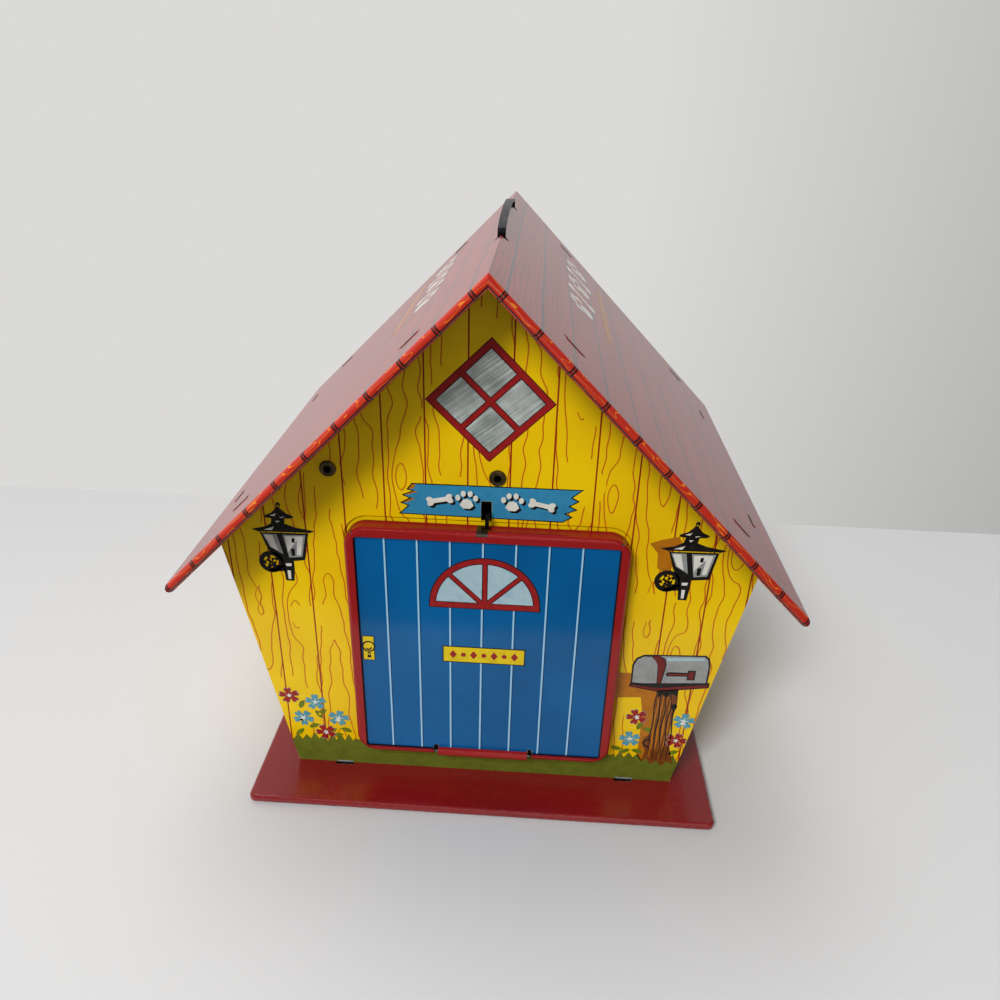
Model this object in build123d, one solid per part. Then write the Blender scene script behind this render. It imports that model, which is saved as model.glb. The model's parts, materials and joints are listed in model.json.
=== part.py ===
from build123d import *
import os

# Tinplate kennel money box: a gable house of folded sheet on a flat base, with a
# drop-down door, a coin-tripped latch, a puppy on a spring slide, a coin vault with
# a sliding trap underneath, and a carrying strap on the ridge.
# Millimetres. X to the right, Y from front to back, Z up, origin under the middle.

os.makedirs("parts", exist_ok=True)

# ---- sheet and walls ----------------------------------------------------------
SHEET = 0.5                 # tinplate thickness
FRONT_Y = -73.0             # outer face of the front wall
REAR_Y = 75.0               # outer face of the rear wall
FOOT_HALF = 69.5            # half width of the walls where they stand on the base
EAVE_HALF = 88.0            # half width where the side walls meet the roof
FLANGE = 6.0                # width of the side walls' spot-welded end flanges

# ---- base ---------------------------------------------------------------------
BASE_HALF_X = 83.1
BASE_FRONT_Y = -92.0
BASE_REAR_Y = 94.0
BASE_TOP = 3.0              # top of the base sheet
BASE_CORNER = 2.4
HEM = 3.0                   # folded edge all round the base

# ---- roof (45 degree gable) -----------------------------------------------------
RIDGE_Z = 190.2
ROOF_SLANT = 138.6          # from ridge to eave along the slope
ROOF_FRONT_Y = -94.0
ROOF_REAR_Y = 88.0
CURL_R = 1.55               # outer radius of the rolled edges
ROOT2 = 2 ** 0.5
UNDER_ROOF = RIDGE_Z - SHEET * ROOT2 - 0.02   # apex of the walls under the sheet

# ---- tabs that hold the walls to roof and base -----------------------------------
TAB_HALF = 3.4
TAB_SLOT_HALF = 4.7
TAB_SLOT_R = 1.3
GABLE_TAB_SLANTS = (33.0, 110.9)
SIDE_TAB_YS = (-50.0, 50.0)
SIDE_TAB_SLANT = 124.6
FOOT_TAB_X = 52.2
FOOT_TAB_Y = 45.0

# ---- door -----------------------------------------------------------------------
DOOR_HALF_X = 45.2
DOOR_LOW_Z = 15.5
DOOR_HIGH_Z = 108.3
DOOR_CORNER = 7.0
PANEL_HALF_X = 42.0
PANEL_LOW_Z = 17.4
PANEL_HIGH_Z = 105.1
RIM_Y = FRONT_Y - 6.0       # crest of the door's raised rim
PANEL_Y = FRONT_Y - 4.9     # face of the door's panel
DOOR_BACK_Y = FRONT_Y - 0.5
HINGE_Y = FRONT_Y - 5.5
HINGE_Z = 17.0
WIRE_R = 0.6
BARREL_R = 1.6
BARREL_HALF = 16.0
WIRE_LEG_X = 16.9
NOTCH_HALF = 17.7
NOTCH_TOP_Z = 19.2

# ---- doorway --------------------------------------------------------------------
RECESS_DEPTH = 0.7
RECESS_MARGIN = 1.3         # recess outline outside the door
RECESS_FLANK = 0.7
DOORWAY_HALF_X = 40.0
DOORWAY_LOW_Z = 20.5
DOORWAY_HIGH_Z = 103.5
LATCH_SLOT = (-0.6, 113.1, 3.3, 7.0)         # x, z, width, height

# ---- latch ----------------------------------------------------------------------
LEVER_X = -0.15
LEVER_T = 1.2
PIVOT_Y = FRONT_Y + 9.0
PIVOT_Z = 121.0
PIN_R = 1.0
HOOK_TIP_Z = DOOR_HIGH_Z + 0.35
BRACKET_T = 0.8
EAR_X = 5.9
EYELETS = ((2.65, 124.8), (-49.7, 125.4))
EYELET_R = 2.65
EYELET_TUBE_R = 1.7
EYELET_BORE_R = 1.2

# ---- puppy and its slide -----------------------------------------------------------
DECK_HALF = 14.0
DECK_TOP = 24.0
DECK_FRONT_Y = -71.0
TRAY_LOW = 24.3
TRAY_TOP = TRAY_LOW + SHEET
TRAY_HALF = 13.1
TRAY_FRONT_Y = -66.0
TRAY_REAR_Y = -24.0
ROD_Z = 33.0
ROD_R = 1.25
SPRING_R = 3.0
SPRING_WIRE_R = 0.35
SPRING_TURNS = 8
NECK = (0.0, -53.0, 58.0)
NECK_R = 8.2
NECK_TILT = 18.0

# ---- coin side -------------------------------------------------------------------
VAULT_Y = 8.0               # front face of the wall between kennel and vault
VAULT_TOP = 100.0
COIN_SLOT_Z = 130.0
COIN_SLOT = (28.0, 3.2)
CHUTE_HALF = 16.0
CHUTE_END_Y = 37.0
CHUTE_END_Z = 113.5
PADDLE_HALF = 12.0
PADDLE_Y = (14.0, 34.0)
PADDLE_Z = 112.2
TRAP_OPEN_HALF = 22.0
TRAP_OPEN_Y = (20.0, 62.0)
TRAP_HALF = 25.0
TRAP_Y = (16.0, 66.0)

# ---- strap -----------------------------------------------------------------------
STRAP_LEG_Y = (-33.5, 38.5)
STRAP_HALF = 1.3
STRAP_T = 1.0
STRAP_HOLE_R = 2.2
STRAP_LEG_LOW_Z = 180.4
STRAP_RISE = 4.2            # middle of the arch above the ridge


def span_box(x_span, y_span, z_span):
    """A box between two values on each axis."""
    size = [high - low for low, high in (x_span, y_span, z_span)]
    middle = [(high + low) / 2 for low, high in (x_span, y_span, z_span)]
    return Pos(*middle) * Box(*size)


def facing(y):
    """The plane of a wall at depth y, drawn in X and Z. Its normal is -Y."""
    return Plane.XZ.offset(-y)


def outline(*points):
    """A polygon face with its normal up, whichever way round its points are given."""
    area = sum(a[0] * b[1] - b[0] * a[1] for a, b in zip(points, points[1:] + points[:1]))
    return Polygon(*(points if area > 0 else points[::-1]), align=None)


def plate(sketch, y, thickness):
    """A sketch drawn in X and Z, as a plate from y back to y + thickness."""
    return extrude(facing(y) * sketch, amount=-thickness)


def rod_x(radius, x_span, y, z):
    """A round rod along X."""
    length = x_span[1] - x_span[0]
    return Pos((x_span[0] + x_span[1]) / 2, y, z) * Rot(0, 90, 0) * Cylinder(radius, length)


def rod_y(radius, y_span, x, z):
    """A round rod along Y."""
    length = y_span[1] - y_span[0]
    return Pos(x, (y_span[0] + y_span[1]) / 2, z) * Rot(90, 0, 0) * Cylinder(radius, length)


def slope_plane(side):
    """Plane across one roof slope: local x is Y, local y is outwards, local z runs down the slope."""
    down = Vector(side, 0, -1).normalized()
    return Plane(origin=(0, 0, RIDGE_Z), x_dir=(0, side, 0), z_dir=down)


def on_slope(side, y_span, rise_span, slant_span):
    """A box laid on a roof slope, given along Y, above the sheet and down the slope."""
    y_middle = (y_span[0] + y_span[1]) / 2
    rise = (rise_span[0] + rise_span[1]) / 2
    slant = (slant_span[0] + slant_span[1]) / 2
    size = (y_span[1] - y_span[0], rise_span[1] - rise_span[0], slant_span[1] - slant_span[0])
    return slope_plane(side) * Pos(side * y_middle, rise, slant) * Box(*size)


def under_roof_prism():
    """Everything below the underside of the roof sheet."""
    reach = 150.0
    gable = outline((0, UNDER_ROOF), (reach, UNDER_ROOF - reach), (reach, -reach),
                      (-reach, -reach), (-reach, UNDER_ROOF - reach))
    return plate(gable, -reach, 2 * reach)


def gable_outline():
    """Outline of the front and rear walls: flared sides and a gable."""
    eave_z = UNDER_ROOF - EAVE_HALF
    return outline((-FOOT_HALF, BASE_TOP), (FOOT_HALF, BASE_TOP), (EAVE_HALF, eave_z),
                   (0, UNDER_ROOF), (-EAVE_HALF, eave_z))


def rounded(x_half, low, high, radius):
    """A rounded rectangle in X and Z, centred on X."""
    return Pos(0, (low + high) / 2) * RectangleRounded(2 * x_half, high - low, radius)


# ---- base -------------------------------------------------------------------------
def make_base_pan():
    """Base sheet with a folded hem, slots for the walls' tabs and the trap opening."""
    depth = BASE_REAR_Y - BASE_FRONT_Y
    centre = Pos(0, (BASE_FRONT_Y + BASE_REAR_Y) / 2, 0)
    sheet = RectangleRounded(2 * BASE_HALF_X, depth, BASE_CORNER)
    block = centre * extrude(sheet, amount=BASE_TOP)
    rim_edges = block.edges().filter_by(Axis.Z, reverse=True).group_by(Axis.Z)
    block = fillet(rim_edges[-1] + rim_edges[0], 1.1)
    well = RectangleRounded(2 * (BASE_HALF_X - HEM), depth - 2 * HEM, 1.0)
    block -= centre * extrude(well, amount=BASE_TOP - SHEET)
    fold = RectangleRounded(2 * (BASE_HALF_X - SHEET), depth - 2 * SHEET, BASE_CORNER - SHEET)
    block -= centre * Pos(0, 0, SHEET) * extrude(fold, amount=BASE_TOP - 2 * SHEET)
    cuts = [span_box((-TRAP_OPEN_HALF, TRAP_OPEN_HALF), TRAP_OPEN_Y, (0, 9))]
    for x in (-FOOT_TAB_X, FOOT_TAB_X):
        x_span = (x - TAB_HALF, x + TAB_HALF)
        cuts.append(span_box(x_span, (FRONT_Y - 1.3, FRONT_Y + 0.7), (0, 9)))
        cuts.append(span_box(x_span, (REAR_Y - 0.7, REAR_Y + 0.3), (0, 9)))
        cuts.append(span_box(x_span, (VAULT_Y - 0.2, VAULT_Y + 0.7), (0, 9)))
    for side in (-1, 1):
        for y in (-FOOT_TAB_Y, FOOT_TAB_Y):
            x_span = sorted((side * (FOOT_HALF - 0.8), side * (FOOT_HALF + 0.2)))
            cuts.append(span_box(x_span, (y - TAB_HALF, y + TAB_HALF), (0, 9)))
    return block - cuts


def make_trap_rails():
    """Two folded strips under the base that the coin trap slides in."""
    strips = []
    for side in (-1, 1):
        section = outline((22.8, 1.0), (26.1, 1.0), (26.1, 2.0), (29.6, 2.0), (29.6, 2.48),
                          (25.6, 2.48), (25.6, 1.5), (22.8, 1.5))
        strip = plate(section, -34.0, 100.0)
        strips.append(strip if side == 1 else mirror(strip, Plane.YZ))
    return Compound(children=strips)


def make_coin_trap():
    """Sliding cover of the coin opening, with a pressed thumb ridge."""
    cover = span_box((-TRAP_HALF, TRAP_HALF), TRAP_Y, (1.75, 2.2))
    ridge_y = TRAP_Y[0] + 7.0
    ridge = Pos(0, ridge_y, 1.8) * extrude(SlotOverall(18, 2.4), amount=-0.85)
    ridge = fillet(ridge.faces().sort_by(Axis.Z)[0].edges(), 0.4)
    return cover + ridge


# ---- walls --------------------------------------------------------------------------
def gable_tabs(y, towards):
    """Tabs of a gable wall: through the roof and bent over, and through the base and bent under."""
    tabs = []
    heads = sorted((y + SHEET * (towards > 0), y + towards * 1.0 + SHEET * (towards > 0)))
    for side in (-1, 1):
        for slant in GABLE_TAB_SLANTS:
            span = (slant - TAB_HALF, slant + TAB_HALF)
            tabs.append(on_slope(side, (y, y + SHEET), (-1.0, 0.2), span))
            tabs.append(on_slope(side, heads, (-0.3, 0.2), span))
        x_span = sorted((side * FOOT_TAB_X - 3.0, side * FOOT_TAB_X + 3.0))
        feet = sorted((y + SHEET * (towards < 0), y - towards * 2.5 + SHEET * (towards < 0)))
        tabs.append(span_box(x_span, (y, y + SHEET), (1.9, BASE_TOP)))
        tabs.append(span_box(x_span, feet, (1.9, 2.35)))
    return tabs


def doorway_recess(y):
    """Tapered block that presses the door recess into the front wall, starting at depth y."""
    outer = (DOOR_HALF_X + RECESS_MARGIN, DOOR_LOW_Z - RECESS_MARGIN, DOOR_HIGH_Z + RECESS_MARGIN)
    inner = (outer[0] - RECESS_FLANK, outer[1] + RECESS_FLANK, outer[2] - RECESS_FLANK)
    mouth = facing(y) * rounded(*outer, DOOR_CORNER + RECESS_MARGIN)
    floor = facing(y + RECESS_DEPTH) * rounded(*inner, DOOR_CORNER + RECESS_MARGIN - RECESS_FLANK)
    return loft([mouth, floor], ruled=True)


def make_front_wall():
    """Pentagon front wall with a recessed doorway, latch slot and rivet holes."""
    wall = plate(gable_outline(), FRONT_Y, SHEET)
    wall = wall + doorway_recess(FRONT_Y + SHEET) - doorway_recess(FRONT_Y)
    doorway = rounded(DOORWAY_HALF_X, DOORWAY_LOW_Z, DOORWAY_HIGH_Z, 5.0)
    wall -= plate(doorway, FRONT_Y - 1, 4.0)
    slot_x, slot_z, slot_w, slot_h = LATCH_SLOT
    wall -= plate(Pos(slot_x, slot_z) * Rectangle(slot_w, slot_h), FRONT_Y - 1, 4.0)
    for x, z in EYELETS:
        wall -= rod_y(EYELET_TUBE_R + 0.05, (FRONT_Y - 1, FRONT_Y + 2), x, z)
    for side in (-1, 1):
        wall -= rod_y(WIRE_R, (FRONT_Y - 1, FRONT_Y + 4), side * WIRE_LEG_X, HINGE_Z)
    return wall + gable_tabs(FRONT_Y, -1)


def make_rear_wall():
    """Pentagon rear wall with the lipped coin slot."""
    width, height = COIN_SLOT
    wall = plate(gable_outline(), REAR_Y - SHEET, SHEET)
    lip = Pos(0, COIN_SLOT_Z) * SlotOverall(width + 6.0, height + 6.0)
    collar = plate(lip, REAR_Y - 0.1, 0.7)
    outer_rim = collar.faces().sort_by(Axis.Y)[-1].edges()
    wall += fillet(outer_rim, 0.5)
    wall -= plate(Pos(0, COIN_SLOT_Z) * Rectangle(width, height), REAR_Y - 2, 4.0)
    return wall + gable_tabs(REAR_Y - SHEET, 1)


def side_wall_section(width):
    """Slanted strip of the side wall in X and Z, with the given width along X."""
    run = 1.06
    top = BASE_TOP + run * (UNDER_ROOF - EAVE_HALF - BASE_TOP)
    lean = run * (EAVE_HALF - FOOT_HALF)
    return outline((FOOT_HALF - width, BASE_TOP), (FOOT_HALF, BASE_TOP),
                   (FOOT_HALF + lean, top), (FOOT_HALF + lean - width, top))


def make_right_wall():
    """Side wall leaning outwards, with end flanges and tabs to roof and base."""
    inside = (FRONT_Y + SHEET, REAR_Y - SHEET)
    wall = plate(side_wall_section(SHEET * 1.02), inside[0], inside[1] - inside[0])
    wall += plate(side_wall_section(FLANGE), inside[0], SHEET)
    wall += plate(side_wall_section(FLANGE), inside[1] - SHEET, SHEET)
    wall &= under_roof_prism()
    for y in SIDE_TAB_YS:
        y_span = (y - TAB_HALF, y + TAB_HALF)
        wall += on_slope(1, y_span, (-0.8, 0.2), (SIDE_TAB_SLANT - 0.3, SIDE_TAB_SLANT + 0.3))
        wall += on_slope(1, y_span, (-0.3, 0.2), (SIDE_TAB_SLANT - 0.3, SIDE_TAB_SLANT + 0.8))
    for y in (-FOOT_TAB_Y, FOOT_TAB_Y):
        y_span = (y - 3.0, y + 3.0)
        wall += span_box((FOOT_HALF - SHEET, FOOT_HALF), y_span, (1.9, BASE_TOP))
        wall += span_box((FOOT_HALF - 2.5, FOOT_HALF), y_span, (1.9, 2.35))
    return wall


def make_vault_wall():
    """Partition between the kennel and the coin vault."""
    lean = (EAVE_HALF - FOOT_HALF) / (UNDER_ROOF - EAVE_HALF - BASE_TOP)
    low_half = FOOT_HALF - SHEET - 0.1
    high_half = low_half + lean * (VAULT_TOP - BASE_TOP)
    section = outline((-low_half, BASE_TOP), (low_half, BASE_TOP), (high_half - 0.8, VAULT_TOP),
                      (-high_half + 0.8, VAULT_TOP))
    wall = plate(section, VAULT_Y, SHEET)
    wall += span_box((-high_half + 6, high_half - 6), (VAULT_Y, VAULT_Y + 4), (VAULT_TOP - SHEET, VAULT_TOP))
    for x in (-FOOT_TAB_X, FOOT_TAB_X):
        wall += span_box((x - 3.0, x + 3.0), (VAULT_Y, VAULT_Y + SHEET), (1.9, BASE_TOP))
        wall += span_box((x - 3.0, x + 3.0), (VAULT_Y - 2.5, VAULT_Y + SHEET), (1.9, 2.35))
    return wall - rod_y(ROD_R, (VAULT_Y - 1, VAULT_Y + 1), 0, ROD_Z)


# ---- roof ---------------------------------------------------------------------------
def edge_roll(gap_corner):
    """Ring section of a rolled edge, open towards the given corner below the sheet."""
    ring = Circle(CURL_R) - Circle(CURL_R - SHEET)
    opening = Pos(gap_corner * CURL_R / 2, (CURL_R - SHEET) / 2) * Rectangle(CURL_R, CURL_R - SHEET)
    return ring - opening


def tab_slot(y_half, slant_half):
    """Lens-shaped cutter through a roof slope."""
    return Rot(-90, 0, 0) * extrude(Ellipse(y_half, slant_half), amount=2, both=True)


def make_slope():
    """The right-hand slope: sheet, rolled front, rear and eave edges, and tab slots."""
    across = slope_plane(1)
    front, rear = ROOF_FRONT_Y + CURL_R, ROOF_REAR_Y - CURL_R
    eave = ROOF_SLANT - CURL_R
    start = -2 * CURL_R
    section = Pos((front + rear) / 2, -SHEET / 2) * Rectangle(rear - front, SHEET)
    section += Pos(front, -CURL_R) * edge_roll(1)
    section += Pos(rear, -CURL_R) * edge_roll(-1)
    slope = across * Pos(0, 0, start) * extrude(section, amount=ROOF_SLANT - start)
    along = Plane(origin=across.from_local_coords((front - CURL_R, 0, 0)),
                  x_dir=across.z_dir, z_dir=(0, -1, 0))
    roll = Pos(eave, -CURL_R) * edge_roll(-1)
    slope += extrude(along * roll, amount=-(rear - front + 2 * CURL_R))
    long_shape = Pos((start + eave) / 2, -CURL_R) * Rectangle(eave - start, 2 * CURL_R)
    long_shape += Pos(eave, -CURL_R) * Circle(CURL_R)
    cross_shape = Pos((front + rear) / 2, -CURL_R) * Rectangle(rear - front, 2 * CURL_R)
    cross_shape += Pos(front, -CURL_R) * Circle(CURL_R)
    cross_shape += Pos(rear, -CURL_R) * Circle(CURL_R)
    slope &= extrude(along * long_shape, amount=-(rear - front + 2 * CURL_R))
    slope &= across * Pos(0, 0, start) * extrude(cross_shape, amount=ROOF_SLANT - start)
    for slant in GABLE_TAB_SLANTS:
        slope -= across * Pos(FRONT_Y - 0.1, 0, slant) * tab_slot(TAB_SLOT_R, TAB_SLOT_HALF)
        slope -= across * Pos(REAR_Y + 0.1, 0, slant) * tab_slot(TAB_SLOT_R, TAB_SLOT_HALF)
    for y in SIDE_TAB_YS:
        slope -= across * Pos(y, 0, SIDE_TAB_SLANT + 0.1) * tab_slot(TAB_SLOT_HALF, TAB_SLOT_R)
    return slope & span_box((0, 200), (-200, 200), (-50, 250))


def make_roof():
    """Both slopes as one folded sheet, with the strap's two holes on the ridge."""
    slope = make_slope()
    roof = slope + mirror(slope, Plane.YZ)
    for y in STRAP_LEG_Y:
        roof -= Pos(0, y, RIDGE_Z) * Cylinder(STRAP_HOLE_R, 12)
    return roof


# ---- door -----------------------------------------------------------------------------
def make_door_panel():
    """Pressed door: a shallow pan with a raised rim, hinge barrel and keeper hole."""
    shape = rounded(DOOR_HALF_X, DOOR_LOW_Z, DOOR_HIGH_Z, DOOR_CORNER)
    pan = plate(shape, RIM_Y, DOOR_BACK_Y - RIM_Y)
    pan = fillet(pan.faces().sort_by(Axis.Y)[0].edges(), 1.3)
    pocket = rounded(PANEL_HALF_X, PANEL_LOW_Z, PANEL_HIGH_Z, 1.2)
    pan -= plate(pocket, RIM_Y - 1, PANEL_Y - RIM_Y + 1)
    hollow = rounded(DOOR_HALF_X - SHEET, DOOR_LOW_Z + SHEET, DOOR_HIGH_Z - SHEET, DOOR_CORNER - SHEET)
    cavity = plate(hollow, RIM_Y + SHEET, DOOR_BACK_Y - RIM_Y)
    core = rounded(PANEL_HALF_X + SHEET, PANEL_LOW_Z - SHEET, PANEL_HIGH_Z + SHEET, 1.6)
    cavity -= plate(core, RIM_Y, PANEL_Y + SHEET - RIM_Y)
    pan -= cavity
    pan -= span_box((-NOTCH_HALF, NOTCH_HALF), (RIM_Y - 1, FRONT_Y), (DOOR_LOW_Z - 1, NOTCH_TOP_Z))
    pan += span_box((-BARREL_HALF, BARREL_HALF), (PANEL_Y, PANEL_Y + SHEET), (HINGE_Z, NOTCH_TOP_Z))
    pan += rod_x(BARREL_R, (-BARREL_HALF, BARREL_HALF), HINGE_Y, HINGE_Z)
    pan -= rod_x(WIRE_R + 0.06, (-BARREL_HALF - 1, BARREL_HALF + 1), HINGE_Y, HINGE_Z)
    keeper = Pos(LEVER_X, (RIM_Y + DOOR_BACK_Y) / 2 + 0.3, DOOR_HIGH_Z) * extrude(
        SlotOverall(3.2, 2.2), amount=2, both=True)
    return pan - keeper


def make_hinge_wire():
    """Staple-shaped hinge wire: its two legs pass through the wall and are peened inside."""
    wire = rod_x(WIRE_R, (-WIRE_LEG_X, WIRE_LEG_X), HINGE_Y, HINGE_Z)
    back = FRONT_Y + RECESS_DEPTH + SHEET
    for side in (-1, 1):
        x = side * WIRE_LEG_X
        wire += Pos(x, HINGE_Y, HINGE_Z) * Sphere(WIRE_R)
        wire += rod_y(WIRE_R, (HINGE_Y, back + 0.8), x, HINGE_Z)
        wire += rod_y(WIRE_R + 0.7, (back, back + 0.8), x, HINGE_Z)
    return wire


# ---- latch ----------------------------------------------------------------------------
def lever_plate(sketch, thickness, x_low):
    """A sketch in Y and Z as a plate from x_low."""
    return extrude(Plane.YZ.offset(x_low) * sketch, amount=thickness)


def make_latch_lever():
    """Lever in the middle plane: hook through the slot, pivot barrel, and coin arm to the rear."""
    arm_end = PADDLE_Y[0] + 11.0
    shape = Pos(PIVOT_Y, PIVOT_Z) * Circle(3.4)
    shape += outline((PIVOT_Y - 3.0, PIVOT_Z), (PIVOT_Y + 1.5, PIVOT_Z), (PIVOT_Y + 1.5, 110.9),
                     (PIVOT_Y - 3.0, 110.9))
    shape += outline((PIVOT_Y - 12.6, 110.9), (PIVOT_Y, 110.9), (PIVOT_Y, 113.9),
                     (PIVOT_Y - 12.6, 113.9))
    shape += outline((PIVOT_Y - 12.6, HOOK_TIP_Z), (PIVOT_Y - 11.6, HOOK_TIP_Z),
                     (PIVOT_Y - 11.0, 112.0), (PIVOT_Y - 12.6, 112.0))
    shape += outline((PIVOT_Y, 118.6), (arm_end, 113.8), (arm_end, 118.8), (PIVOT_Y, 124.0))
    lever = lever_plate(shape, LEVER_T, LEVER_X - LEVER_T / 2)
    lever += rod_x(2.4, (-EAR_X + 0.6, EAR_X - 0.6), PIVOT_Y, PIVOT_Z)
    lever -= rod_x(PIN_R + 0.05, (-20, 20), PIVOT_Y, PIVOT_Z)
    for y in rivet_stations():
        lever -= rod_x(0.8, (-4, 4), y, PADDLE_Z + 4.6)
    return lever


def rivet_stations():
    """Depths of the two rivets that join paddle and lever."""
    return (PADDLE_Y[0] + 3.0, PADDLE_Y[0] + 8.0)


def make_coin_paddle():
    """Folded plate that the coin lands on, riveted to the end of the lever."""
    face = LEVER_X + LEVER_T / 2
    paddle = span_box((-PADDLE_HALF, PADDLE_HALF), PADDLE_Y, (PADDLE_Z, PADDLE_Z + SHEET))
    paddle += span_box((face, face + SHEET), (PADDLE_Y[0], PADDLE_Y[0] + 11.0), (PADDLE_Z, PADDLE_Z + 6.6))
    for y in rivet_stations():
        paddle -= rod_x(0.8, (-4, 4), y, PADDLE_Z + 4.6)
    return paddle


def make_paddle_rivets():
    """Two snap-head rivets through lever and paddle."""
    low = LEVER_X - LEVER_T / 2
    high = LEVER_X + LEVER_T / 2 + SHEET
    rivets = []
    for y in rivet_stations():
        rivet = rod_x(0.8, (low - 0.3, high + 0.3), y, PADDLE_Z + 4.6)
        rivet += rod_x(1.4, (low - 0.6, low), y, PADDLE_Z + 4.6)
        rivet += rod_x(1.4, (high, high + 0.6), y, PADDLE_Z + 4.6)
        rivets.append(rivet)
    return Compound(children=rivets)


def make_latch_bracket():
    """Strip behind the front wall with two folded ears that carry the latch pin."""
    back = FRONT_Y + SHEET
    bracket = plate(outline((-54.0, 121.2), (6.3, 121.2), (6.3, 129.0), (-54.0, 129.0)),
                    back, BRACKET_T)
    ear = outline((back, 121.2), (back, 129.0), (PIVOT_Y, 125.0), (PIVOT_Y + 3.0, 123.0),
                  (PIVOT_Y + 3.0, 118.6), (PIVOT_Y - 3.0, 118.0))
    for x in (-EAR_X - BRACKET_T / 2, EAR_X - BRACKET_T / 2):
        bracket += lever_plate(ear, BRACKET_T, x)
    bracket -= rod_x(PIN_R, (-20, 20), PIVOT_Y, PIVOT_Z)
    for x, z in EYELETS:
        bracket -= rod_y(EYELET_TUBE_R + 0.05, (FRONT_Y, FRONT_Y + 4), x, z)
    return bracket


def make_latch_pin():
    """Pin of the latch lever, headed at both ends."""
    reach = EAR_X + BRACKET_T / 2
    pin = rod_x(PIN_R, (-reach - 0.6, reach + 0.6), PIVOT_Y, PIVOT_Z)
    pin += rod_x(PIN_R + 0.7, (-reach - 0.7, -reach), PIVOT_Y, PIVOT_Z)
    pin += rod_x(PIN_R + 0.7, (reach, reach + 0.7), PIVOT_Y, PIVOT_Z)
    return pin


def make_latch_spring():
    """Flat spring riveted under the left eyelet, with its free end on the hook arm."""
    face = FRONT_Y + SHEET + BRACKET_T
    x, z = EYELETS[1]
    blade = plate(Pos(x, z - 0.1) * Rectangle(7.0, 6.6), face, 0.4)
    strip = outline((x + 2.0, 121.9), (x + 3.5, 121.9), (0.5, 115.0), (0.5, 115.4),
                    (x + 3.5, 122.6), (x + 2.0, 122.6))
    blade += plate(strip, face, 3.2)
    return blade - rod_y(EYELET_TUBE_R + 0.05, (FRONT_Y, FRONT_Y + 4), x, z)


def make_wall_eyelets():
    """Two tubular rivets that hold the bracket to the front wall."""
    eyelets = []
    backs = (FRONT_Y + SHEET + BRACKET_T, FRONT_Y + SHEET + BRACKET_T + 0.4)
    for (x, z), back in zip(EYELETS, backs):
        head = rod_y(EYELET_R, (FRONT_Y - 0.8, FRONT_Y), x, z)
        head = fillet(head.faces().sort_by(Axis.Y)[0].edges(), 0.6)
        tail = rod_y(EYELET_R - 0.2, (back, back + 0.7), x, z)
        eyelet = head + tail + rod_y(EYELET_TUBE_R, (FRONT_Y - 0.2, back + 0.2), x, z)
        eyelet -= rod_y(EYELET_BORE_R, (FRONT_Y - 2, back + 2), x, z)
        eyelets.append(eyelet)
    return Compound(children=eyelets)


# ---- puppy and slide --------------------------------------------------------------------
def make_slide_deck():
    """Folded bridge over the kennel floor whose lips guide the puppy's tray."""
    section = outline(
        (DECK_HALF + 5, BASE_TOP), (DECK_HALF + 5, BASE_TOP + SHEET), (DECK_HALF, BASE_TOP + SHEET),
        (DECK_HALF, 26.2), (11.3, 26.2), (11.3, 25.7), (DECK_HALF - SHEET, 25.7),
        (DECK_HALF - SHEET, DECK_TOP), (0, DECK_TOP), (0, DECK_TOP - SHEET),
        (DECK_HALF - SHEET, DECK_TOP - SHEET), (DECK_HALF - SHEET, BASE_TOP))
    half = plate(section, DECK_FRONT_Y, VAULT_Y - DECK_FRONT_Y)
    return half + mirror(half, Plane.YZ)


def make_spring_rod():
    """Guide rod of the puppy's spring, riveted to the vault wall."""
    rod = rod_y(ROD_R, (-60.0, VAULT_Y + 1.2), 0, ROD_Z)
    rod = chamfer(rod.faces().sort_by(Axis.Y)[0].edges(), 0.5)
    return rod + rod_y(ROD_R + 1.0, (VAULT_Y + SHEET, VAULT_Y + 1.2), 0, ROD_Z)


def make_puppy_spring():
    """Compression spring between the vault wall and the tray's upright."""
    gap = 0.1
    length = VAULT_Y - TRAY_REAR_Y - 2 * (SPRING_WIRE_R + gap)
    path = Helix(pitch=length / SPRING_TURNS, height=length, radius=SPRING_R)
    section = Plane(origin=path @ 0, z_dir=path % 0) * Circle(SPRING_WIRE_R)
    coil = sweep(section, path=path, is_frenet=True)
    return Pos(0, VAULT_Y - SPRING_WIRE_R - gap, ROD_Z) * Rot(90, 0, 0) * coil


def make_puppy_tray():
    """Tray that runs in the deck's lips, with an upright for the spring."""
    tray = span_box((-TRAY_HALF, TRAY_HALF), (TRAY_FRONT_Y, TRAY_REAR_Y), (TRAY_LOW, TRAY_TOP))
    tray += span_box((-8, 8), (TRAY_REAR_Y - SHEET, TRAY_REAR_Y), (TRAY_LOW, 40.0))
    tray -= rod_y(ROD_R + 0.35, (TRAY_REAR_Y - 2, TRAY_REAR_Y + 1), 0, ROD_Z)
    for x, y in puppy_rivet_places():
        tray -= Pos(x, y, TRAY_TOP) * Cylinder(1.0, 4)
    return tray


def puppy_rivet_places():
    """Where the puppy's paws are riveted to the tray."""
    return ((-6.0, -55.0), (6.0, -55.0), (-7.0, -34.0), (7.0, -34.0))


def egg(place, radius, half_length, turn=0.0):
    """A solid of revolution about Z with an elliptical outline, turned about X."""
    half = Ellipse(radius, half_length) & Pos(radius, 0) * Rectangle(2 * radius, 3 * half_length)
    return Pos(*place) * Rot(turn, 0, 0) * revolve(Plane.XZ * half, axis=Axis.Z)


def puppy_ear(side):
    """One hanging ear, a flat rounded pad on the side of the head."""
    pad = Pos(side * 10.8, -55.0, 67.5) * Rot(0, 90, 0) * extrude(Ellipse(8.5, 5.0), amount=1.9, both=True)
    return fillet(pad.edges(), 1.2)


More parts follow.
